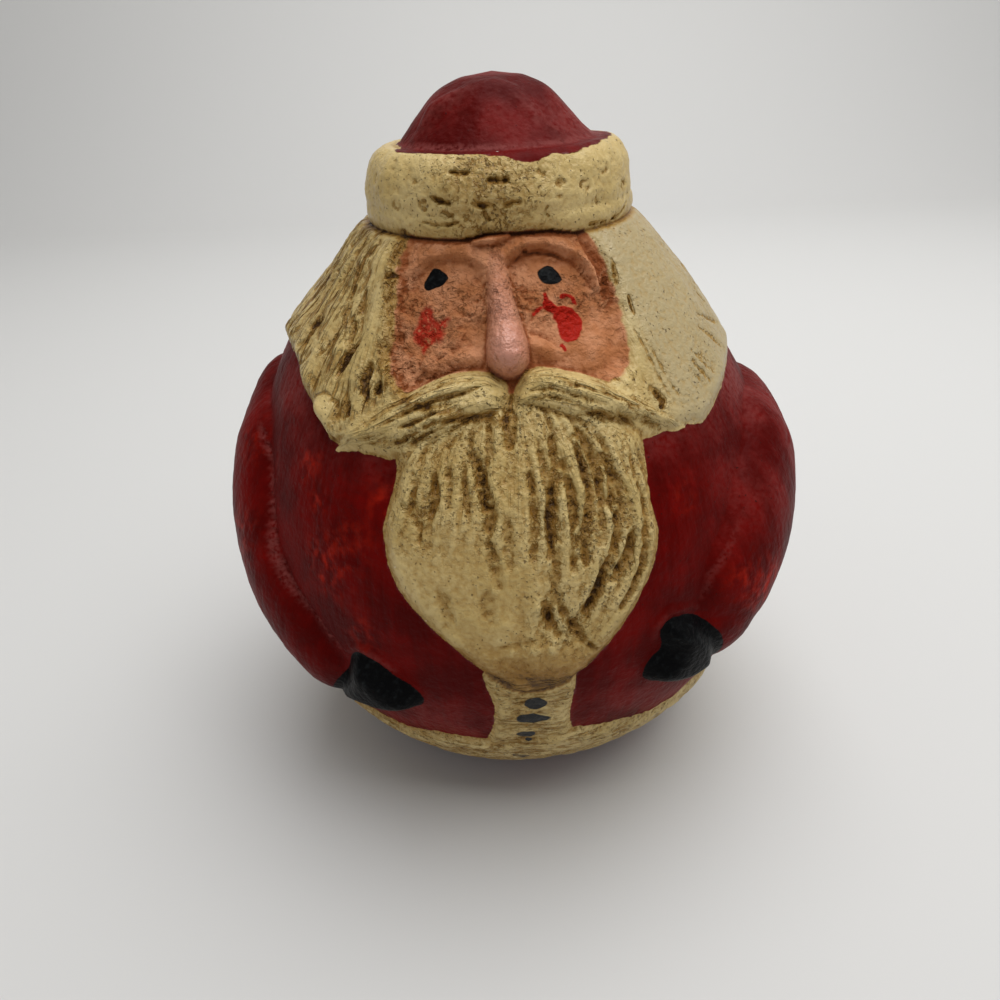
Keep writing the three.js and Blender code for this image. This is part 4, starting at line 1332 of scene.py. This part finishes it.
# %% White chips where paint has come off
# Chips: azimuth, height and radius in millimetres.
CHIPS = [(1.5, 160.9, 0.48), (-22, 93, 0.25), (-21, 86, 0.25), (35, 88, 0.25), (-16, 74, 0.25)]
chip_depth = np.maximum.reduce(
    [radius - np.hypot(*offsets_to(slice(None), (azimuth, z))) for azimuth, z, radius in CHIPS]
)

# %% Recesses, which hold the brown wash
edge_ends = np.empty(len(figure_mesh.edges) * 2, np.int32)
figure_mesh.edges.foreach_get("vertices", edge_ends)
edge_ends = edge_ends.reshape(-1, 2)
neighbours = np.bincount(edge_ends.ravel(), minlength=len(points))


def neighbour_average(values):
    total = np.bincount(edge_ends[:, 0], values[edge_ends[:, 1]], len(values))
    total += np.bincount(edge_ends[:, 1], values[edge_ends[:, 0]], len(values))
    return total / neighbours


def smoothed(values, rounds):
    for _ in range(rounds):
        values = neighbour_average(values)
    return values


# Rounds of averaging: how far wash soaks in about a cut, and how wide the two kinds of recess are.
SOAK_ROUNDS = 12
FINE_ROUNDS = 6
BROAD_ROUNDS = 60
# A cut of the moustache is thin and keeps the wash dark, a valley of the beard only browns.
worked = np.select(
    [band_depth > 0, skin_depth > 0, moustache_depth > 0, beard_depth > 0, hair_depth > 0, trim_depth > 0],
    [
        0.9 * gashes + 0.4 * ring_marks, face_grooves * crumbly, 0.8 * moustache_cuts, 0.27 * beard_cuts,
        0.45 * hair_cuts + 0.6 * hair_scratches, 0.7 * trim_cuts,
    ],
    0,
)
soaked = smoothed(worked, SOAK_ROUNDS)
fine_recess = smoothed(relief, FINE_ROUNDS) - relief
broad_recess = smoothed(relief, BROAD_ROUNDS) - relief
cream_wash = 0.42 * fine_recess + 0.12 * broad_recess + 0.1 * soaked
skin_wash = 0.6 * fine_recess + 0.05 * broad_recess
wash = np.clip(np.where(skin_depth > 0, skin_wash, cream_wash), -1, 2)
print("recesses hold wash on", round(100 * float((wash > 0.1).mean())), "% of points")

# %% The run of strands and brush
STREAK_STRETCH = 0.12
GROUP_GAP = 60.0


def run_along(across, along, group):
    """Millimetres across and along strands. Noise read there is drawn out along the strands."""
    return np.stack([across, along * STREAK_STRETCH, np.full(len(across), GROUP_GAP * group)], 1)


def where_deeper(depth, inside, outside):
    return np.where((depth > 0)[:, None], inside, outside)


# Round the figure the noise is read on a drum, so that it meets itself behind.
turn = np.radians(spots.azimuth)
stretched_up = spots.up * STREAK_STRETCH
strands = np.stack([STRAND_RADIUS * np.sin(turn), STRAND_RADIUS * np.cos(turn), stretched_up], 1)
strands = where_deeper(beard_depth, run_along(fan_mm, spots.up, 2), strands)
strands = where_deeper(moustache_depth, run_along(lobe_mm, round_mm, 3), strands)
strands = where_deeper(trim_depth, run_along(spots.up, round_mm, 4), strands)
brush_run = np.stack([BALL_RADIUS * np.sin(turn), stretched_up, -BALL_RADIUS * np.cos(turn)], 1)
# On the cap the brush went every way, so there its run isn't drawn out.
brush_run = where_deeper(cap_depth + 2, 0.6 * spots.point, brush_run)

# How clearly each part is combed, from 0 to 1.
comb = np.where(hair_depth > 0, combed_hair * lerp(0.8, 0.45, smoothstep(aside, 85, 120)), 0)
comb = np.where(beard_depth > 0, 0.15 * combed, comb)
comb = np.where(moustache_depth > 0, 0.55 * combed_lobes, comb)
comb = np.where(trim_depth > 0, 0.5 * (1 - smoothstep(aside, 160, 172)), comb) * (band_depth < 0)
# Where two kinds of strand meet, neither is combed, so no false line runs along the seam.
seam = np.minimum.reduce([np.abs(beard_depth), np.abs(moustache_depth), np.abs(trim_depth)])
comb *= smoothstep(seam, 0.5, 1.5)
print("combed on", round(100 * float((comb > 0.1).mean())), "% of points")

# %% Crumbly, stained, painted-shade and pale places in the cream
face_border = bell(face_depth + 1, 1.2) * (spots.azimuth < 0) * (spots.z < 146)
low_beard = 1 - smoothstep(spots.z, 60, 74)
crumble = np.select(
    [skin_depth > 0, band_depth > 0],
    [roughness_of_skin, 0.1 + 0.8 * band_middle_front],
    0.05 + 2 * soaked + 0.35 * low_beard + 0.3 * combed * (beard_depth > 0),
)
crumble = np.clip(np.maximum(crumble, face_border), 0, 1)
# Stain and painted shade: the beard is stained, and browned more low down as painted shade where it faces
# down. The trim is browner on its left, partly from dirt and partly as painted shade. The band's middle, the
# face's border and the combed hair are stained.
stain = np.select(
    [band_depth > 0, moustache_depth > 0, beard_depth > 0, hair_depth > 0],
    [1.5 * band_middle_front, -0.3, 0.8 + 3.4 * low_beard, 0.3 * combed_hair],
    0.9 - 1.1 * smoothstep(spots.azimuth, -30, 30),
)
stain = stain + 2.6 * face_border
# Painted shade: brown is added in the crease under the band, where the band overhangs the hair and the
# forehead.
under_band_shade = bell(spots.z - band_bottom, 0.9)
wash = wash + 0.5 * under_band_shade * (band_depth < 0)
umber = np.clip(umber + 0.8 * ridge(STRAY_CLAY), 0, 1) + 1.6 * under_band_shade
# The hair on the right is a greyer cream.
pale = np.where(hair_depth > 0, stretch(spots.azimuth, 30, 44, 90, 150), 0) * (band_depth < 0)
print("crumbly on", round(100 * float((crumble > 0.5).mean())), "% of points")

# %% Dusty, painted-sheen, rubbed and shiny places
# Painted sheen and painted reflection: the shoulders are greyed where they face the light overhead, and the
# low belly where it faces the pale floor. On the cap, the cuffs and the right sleeve the grey is dust.
shoulder_dust = 0.8 * stretch(spots.z, 96, 112, 140, 150)
hem_dust = 0.6 * stretch(spots.z, 30, 36, 42, 56)
cap_dust = on_cap * (0.4 + 0.7 * cap_ridge) + 1.2 * on_cap * bell(spots.z - 162, 0.7)
sleeve_dust = 0.5 * smoothstep(spots.azimuth, 30, 60) * smoothstep(spots.z, 70, 90)
dust = np.clip(shoulder_dust + hem_dust + cap_dust + 0.8 * cuffs + sleeve_dust, 0, 1.5)
# Thicker dust lies in the creases of the arms and along the foot of the cap.
cap_foot = bell(spots.z - 162.2, 0.7) * (1 - smoothstep(aside, 50, 75))
crease = np.clip(creases + 1.3 * cap_foot, 0, 1)
# Patches where hands have rubbed the coat bright: azimuth, height, radius and share.
RUBBED_PLACES = [
    (-42, 93, 2.4, 1.3), (-38, 80, 6, 1.2), (-30, 66, 5, 0.6), (-47, 100, 4, 0.8), (-66, 74, 7, 0.7),
    (50, 66, 6, 1.1), (44, 72, 4, 0.7), (35, 94, 4, 0.4), (60, 62, 5, 0.6), (-26, 98, 4, 0.7),
    (-32, 88, 5, 0.6), (-70, 95, 5, 0.5),
]
rubbed = np.clip(swell(RUBBED_PLACES), 0, 1)
nose_gloss = np.clip(nose / NOSE_RISE, 0, 1)
shine = np.select([skin_depth > 0, cream_depth > 0], [0.05 + nose_gloss, 0.45], 0)
print("rubbed on", round(100 * float((rubbed > 0.3).mean())), "% of points")

# %% Store it all on the mesh
stored = {
    "cream_depth": cream_depth,
    "skin_depth": skin_depth,
    "black_depth": black_depth,
    "thin_dab": thin_dab,
    "full_dab": full_dab,
    "chip_depth": chip_depth,
    "comb": comb,
    "dust": dust,
    "strands": strands,
    "brush_run": brush_run,
    "cut": worked,
    "crumble": crumble,
    "pale": pale,
    "stain": stain,
    "rubbed": rubbed,
    "crease": crease,
    "nose_gloss": nose_gloss,
    "shine": shine,
    "wash": wash,
    "umber": umber,
}
for name, values in stored.items():
    kind, field = ("FLOAT_VECTOR", "vector") if values.ndim == 2 else ("FLOAT", "value")
    attribute = figure_mesh.attributes.new(name, kind, "POINT")
    attribute.data.foreach_set(field, values.astype(np.float32).ravel())
print(len(stored), "values stored on each of", len(points), "points")

# %% [markdown]
# ## Paint
#
# One material holds every paint, laid over each other in the order the maker used: red over all,
# then cream, skin, black and the cheeks. Each paint is a small function that gives a colour, a
# roughness and a fine relief. Separate materials would meet along the mesh's edges, not the brush's.

# %% A short way to write nodes
class PaintTable:
    """Adds nodes to one material and hands back the sockets that later nodes read."""

    def __init__(self, material):
        self.tree = material.node_tree

    def add(self, kind, **settings):
        node = self.tree.nodes.new(kind)
        for name, value in settings.items():
            setattr(node, name, value)
        return node

    def plug(self, socket, value):
        if isinstance(value, bpy.types.NodeSocket):
            self.tree.links.new(value, socket)
        elif value is not None:
            socket.default_value = value

    def stored(self, name, output="Fac"):
        return self.add("ShaderNodeAttribute", attribute_name=name).outputs[output]

    def place(self):
        return self.add("ShaderNodeTexCoord").outputs["Object"]

    def grain(self, size_mm, detail=2.0, vector=None, in_mm=False):
        """Noise from 0 to 1 with grains of a size, over the figure or over a stored vector in mm."""
        node = self.add("ShaderNodeTexNoise")
        self.plug(node.inputs["Vector"], vector or self.place())
        node.inputs["Scale"].default_value = (1.0 if in_mm else 1 / MM) / size_mm
        node.inputs["Detail"].default_value = detail
        return node.outputs["Fac"]

    def maths(self, operation, first, second=0.0, third=None):
        node = self.add("ShaderNodeMath", operation=operation)
        for socket, value in zip(node.inputs, (first, second, third)):
            self.plug(socket, value)
        return node.outputs[0]

    def times(self, first, second):
        return self.maths("MULTIPLY", first, second)

    def pile(self, total, *weighted):
        """A value with others added to it one by one, each times its weight."""
        for value, weight in weighted:
            total = self.maths("MULTIPLY_ADD", value, weight, total)
        return total

    def step(self, value, low, high):
        """0 below low, 1 above high, smooth between."""
        node = self.add("ShaderNodeMapRange", interpolation_type="SMOOTHSTEP")
        self.plug(node.inputs["Value"], value)
        node.inputs["From Min"].default_value = low
        node.inputs["From Max"].default_value = high
        return node.outputs["Result"]

    def patchy(self, value, size_mm, detail, low, high):
        """A value that comes and goes in patches of a size."""
        return self.times(value, self.step(self.grain(size_mm, detail), low, high))

    def thin_lines(self, grains, width):
        """1 along the lines where noise passes through its middle value, 0 a little way off them."""
        off = self.maths("ABSOLUTE", self.maths("SUBTRACT", grains, 0.5))
        return self.maths("SUBTRACT", 1.0, self.step(off, 0.2 * width, width))

    def blend(self, share, first, second):
        """Mixes two colours, or two numbers."""
        colours = any(
            isinstance(value, tuple) or getattr(value, "type", "") == "RGBA" for value in (first, second)
        )
        node = self.add("ShaderNodeMix", data_type="RGBA" if colours else "FLOAT")
        group = "Color" if colours else "Float"
        sockets = [s for s in node.inputs if s.identifier.endswith("_" + group)]
        factor = next(s for s in node.inputs if s.identifier == "Factor_Float")
        self.plug(factor, share)
        self.plug(sockets[-2], first)
        self.plug(sockets[-1], second)
        return next(s for s in node.outputs if s.identifier.endswith("_" + group))


def colour(red, green, blue):
    """A colour as a screen shows it, 0 to 255, as the linear light that a material wants."""
    shares = [value / 255 for value in (red, green, blue)]
    return tuple(s / 12.92 if s < 0.04045 else ((s + 0.055) / 1.055) ** 2.4 for s in shares) + (1,)


# %% Red: deep and long-brushed, greyed by dust and painted sheen where hands don't rub it, orange where they do
DEEP_RED = colour(77, 3, 1)
WARM_RED = colour(107, 6, 3)
RUBBED_ORANGE = colour(172, 34, 14)
# A greyed red, for dust and for painted sheen.
DUST_AND_SHEEN_RED = colour(128, 62, 58)
DARK_FLECK = colour(60, 20, 18)


def red_paint(table):
    strokes = table.grain(2.4, 4, table.stored("brush_run", "Vector"), in_mm=True)
    patches = table.grain(13, 3)
    tone = table.step(table.blend(0.75, strokes, patches), 0.36, 0.66)
    paint = table.blend(tone, DEEP_RED, WARM_RED)
    rubbed = table.patchy(table.stored("rubbed"), 3, 3, 0.4, 0.7)
    paint = table.blend(table.times(rubbed, 0.8), paint, RUBBED_ORANGE)
    # Dust and painted sheen lie in broad patches that are broken up finely, and dust lies thicker in the
    # creases.
    dusty = table.times(table.stored("dust"), table.step(patches, 0.25, 0.65))
    dusty = table.patchy(dusty, 1.2, 4, 0.2, 0.7)
    crease_dust = table.patchy(table.stored("crease"), 1.0, 4, 0.3, 0.6)
    dusty = table.maths("MAXIMUM", dusty, crease_dust)
    paint = table.blend(table.times(dusty, 0.75), paint, DUST_AND_SHEEN_RED)
    paint = table.blend(table.step(table.grain(0.8, 1), 0.75, 0.79), paint, DARK_FLECK)
    rough = table.blend(strokes, 0.36, 0.52)
    bump = table.pile(table.times(strokes, 0.3), (table.grain(1.6, 3), 0.3))
    return paint, rough, bump


# %% Cream: a dry paint with a brown wash that stays in every recess, crack and pit, and painted shade low on the beard, on the trim's left and under the band
CREAM = colour(211, 186, 127)
DULL_CREAM = colour(198, 171, 109)
GREYISH_CREAM = colour(181, 163, 122)
# Tan, ochre and brown paint the wash, and also the painted shade that is added to it.
TAN_WASH_AND_SHADE = colour(174, 140, 78)
OCHRE_WASH_AND_SHADE = colour(146, 106, 44)
BROWN_WASH_AND_SHADE = colour(80, 52, 20)
PIT_BROWN = colour(84, 58, 26)


def cream_paint(table):
    crumble = table.stored("crumble")
    comb = table.stored("comb")
    cut = table.stored("cut")
    crumbs = table.grain(1.2, 5)
    dip = table.maths("SUBTRACT", 0.5, crumbs)
    # Fine threads and wider rills run along the strands, and both break off and start again.
    strands = table.grain(1.5, 3, table.stored("strands", "Vector"), in_mm=True)
    threads = table.times(table.thin_lines(strands, 0.075), comb)
    threads = table.patchy(threads, 3.5, 3, 0.42, 0.56)
    long_grain = table.grain(3.4, 3, table.stored("strands", "Vector"), in_mm=True)
    rills = table.times(table.thin_lines(long_grain, 0.05), comb)
    rills = table.patchy(rills, 6, 3, 0.4, 0.5)
    # Crackle runs every way through crumbly paint.
    bits = table.patchy(crumble, 1.6, 2, 0.5, 0.6)
    crackle = table.times(table.thin_lines(table.grain(1.3, 4), 0.07), bits)
    # A cut holds wash on its floor, and more in its deep core.
    floor = table.step(table.pile(cut, (dip, 0.4)), 0.12, 0.34)
    core = table.step(table.pile(cut, (dip, 0.6)), 0.45, 0.8)
    held_wash_and_shade = table.pile(
        table.stored("wash"), (dip, 0.8), (threads, 0.45), (rills, 0.6), (crackle, 0.4),
        (table.stored("stain"), 0.2), (floor, 0.2), (core, 0.42),
    )
    # The more wash, stain and painted shade a spot holds, the browner it is.
    cream = table.blend(table.step(table.grain(11, 3), 0.35, 0.65), CREAM, DULL_CREAM)
    cream = table.blend(table.stored("pale"), cream, GREYISH_CREAM)
    paint = table.blend(table.step(held_wash_and_shade, -0.1, 0.4), cream, TAN_WASH_AND_SHADE)
    paint = table.blend(table.step(held_wash_and_shade, 0.25, 0.75), paint, OCHRE_WASH_AND_SHADE)
    paint = table.blend(table.step(held_wash_and_shade, 0.65, 1.3), paint, BROWN_WASH_AND_SHADE)
    pits = table.pile(table.grain(0.7, 1), (crumble, 0.09))
    speck = table.patchy(table.step(pits, 0.68, 0.76), 7, 2, 0.4, 0.6)
    paint = table.blend(table.times(speck, 0.6), paint, PIT_BROWN)
    rough = table.blend(table.step(held_wash_and_shade, 0, 0.6), 0.4, 0.7)
    bump = table.times(crumbs, table.pile(0.35, (crumble, 0.7)))
    bump = table.pile(
        bump, (strands, table.times(comb, 0.9)), (threads, -0.6), (rills, -0.9), (crackle, -0.4),
        (floor, -0.25), (core, -0.4), (speck, -0.6),
    )
    return paint, rough, bump


# %% Skin: pink over orange-brown, browned by painted shade under the band, and shiny along the nose
PINK = colour(202, 140, 101)
TANNED_PINK = colour(178, 114, 72)
# Umber and dark umber paint the orange-brown, and also the painted shade under the band.
UMBER_AND_SHADE = colour(142, 78, 42)
DARK_UMBER_AND_SHADE = colour(66, 32, 14)
PORE_BROWN = colour(84, 46, 24)
NOSE_PINK = colour(219, 154, 138)


def skin_paint(table):
    crumbs = table.grain(1.2, 5)
    crumble = table.stored("crumble")
    gloss = table.stored("nose_gloss")
    # Thin wrinkles cross the rough skin and break off in places.
    wrinkled = table.patchy(crumble, 4, 2, 0.35, 0.6)
    wrinkles = table.times(table.thin_lines(table.grain(1.8, 4), 0.06), wrinkled)
    wrinkles = table.patchy(wrinkles, 2, 2, 0.46, 0.58)
    grooved = table.step(table.stored("cut"), 0.3, 0.8)
    skin = table.blend(table.step(table.grain(6, 3), 0.35, 0.65), PINK, TANNED_PINK)
    grit = table.pile(0.35, (crumble, 0.85))
    held_wash_and_shade = table.pile(
        table.stored("wash"), (table.maths("SUBTRACT", 0.5, crumbs), grit),
        (table.stored("umber"), 0.32), (wrinkles, 0.16), (grooved, 0.45),
    )
    skin = table.blend(table.step(held_wash_and_shade, 0.0, 0.45), skin, UMBER_AND_SHADE)
    skin = table.blend(table.step(held_wash_and_shade, 0.45, 1.2), skin, DARK_UMBER_AND_SHADE)
    pores = table.times(table.step(table.grain(0.8, 1), 0.66, 0.72), crumble)
    skin = table.blend(table.times(pores, 0.35), skin, PORE_BROWN)
    skin = table.blend(table.times(gloss, 0.6), skin, NOSE_PINK)
    bump = table.times(crumbs, table.pile(0.4, (crumble, 1.1)))
    bump = table.pile(bump, (wrinkles, -0.5), (table.times(table.grain(2.2, 4), gloss), 0.7))
    return skin, table.blend(gloss, 0.5, 0.3), bump


# %% Black: thick, with grey where the brush dragged
BLACK = colour(9, 9, 10)
DRAGGED_GREY = colour(30, 33, 34)
BLACK_ROUGHNESS = 0.4


def black_paint(table):
    drag = table.grain(1.6, 5)
    black = table.blend(table.step(drag, 0.5, 0.8), BLACK, DRAGGED_GREY)
    return black, BLACK_ROUGHNESS, table.times(drag, 0.5)


# %% Lay the paints over each other
BUMP_MM = 1.1
GLOSS = 0.04
VARNISH_ROUGHNESS = 0.2
DAB_RED = colour(170, 30, 16)
DAB_ROUGHNESS = 0.4
CHALK_WHITE = colour(225, 220, 212)
CHALK_ROUGHNESS = 0.7
CHALK_HEIGHT = 0.2


def lay_over(table, below, above, share):
    return tuple(table.blend(share, low, high) for low, high in zip(below, above))


def brush_edge(table, name, wobble_mm, softness_mm=0.12):
    """How much a paint covers, from its stored depth, with an edge that wanders as a brush does."""
    wander = table.maths("SUBTRACT", table.grain(2.4, 3), 0.5)
    depth = table.pile(table.stored(name), (wander, wobble_mm))
    return table.step(depth, -softness_mm, softness_mm)


def cheek_dabs(table, layers):
    """Red on the cheeks, streaky on the left. It is thin, so the skin's own relief shows in it."""
    red = (DAB_RED, DAB_ROUGHNESS, layers[2])
    streaky = table.step(table.grain(1.1, 4), 0.28, 0.46)
    thin = table.times(brush_edge(table, "thin_dab", 2.6, 0.6), streaky)
    layers = lay_over(table, layers, red, table.times(thin, 0.9))
    return lay_over(table, layers, red, brush_edge(table, "full_dab", 2.0, 0.2))


def painted_clay():
    material = bpy.data.materials.new("painted_clay")
    material.use_nodes = True
    table = PaintTable(material)
    shader = material.node_tree.nodes["Principled BSDF"]
    shader.inputs["Specular IOR Level"].default_value = GLOSS
    shader.inputs["Coat Roughness"].default_value = VARNISH_ROUGHNESS
    layers = red_paint(table)
    layers = lay_over(table, layers, cream_paint(table), brush_edge(table, "cream_depth", 1.0))
    layers = lay_over(table, layers, skin_paint(table), brush_edge(table, "skin_depth", 1.4, 0.3))
    layers = lay_over(table, layers, black_paint(table), brush_edge(table, "black_depth", 0.5))
    layers = cheek_dabs(table, layers)
    chalk = (CHALK_WHITE, CHALK_ROUGHNESS, CHALK_HEIGHT)
    paint, rough, height = lay_over(table, layers, chalk, brush_edge(table, "chip_depth", 0.6))
    bump = table.add("ShaderNodeBump")
    bump.inputs["Distance"].default_value = BUMP_MM * MM
    table.plug(bump.inputs["Height"], height)
    table.plug(shader.inputs["Base Color"], paint)
    table.plug(shader.inputs["Roughness"], rough)
    table.plug(shader.inputs["Coat Weight"], table.stored("shine"))
    table.plug(shader.inputs["Normal"], bump.outputs["Normal"])
    table.plug(shader.inputs["Coat Normal"], bump.outputs["Normal"])
    return material


clay = painted_clay()
figure_mesh.materials.append(clay)
print("painted clay is", len(clay.node_tree.nodes), "nodes")

# %% [markdown]
# ## In place of the plain solid
#
# The painted figure stands for the plain solid and rides on the one body.

# %% Replace the plain solid
body = next(iter(frame["bodies"]))
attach(figure, body)
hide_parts(NODE)
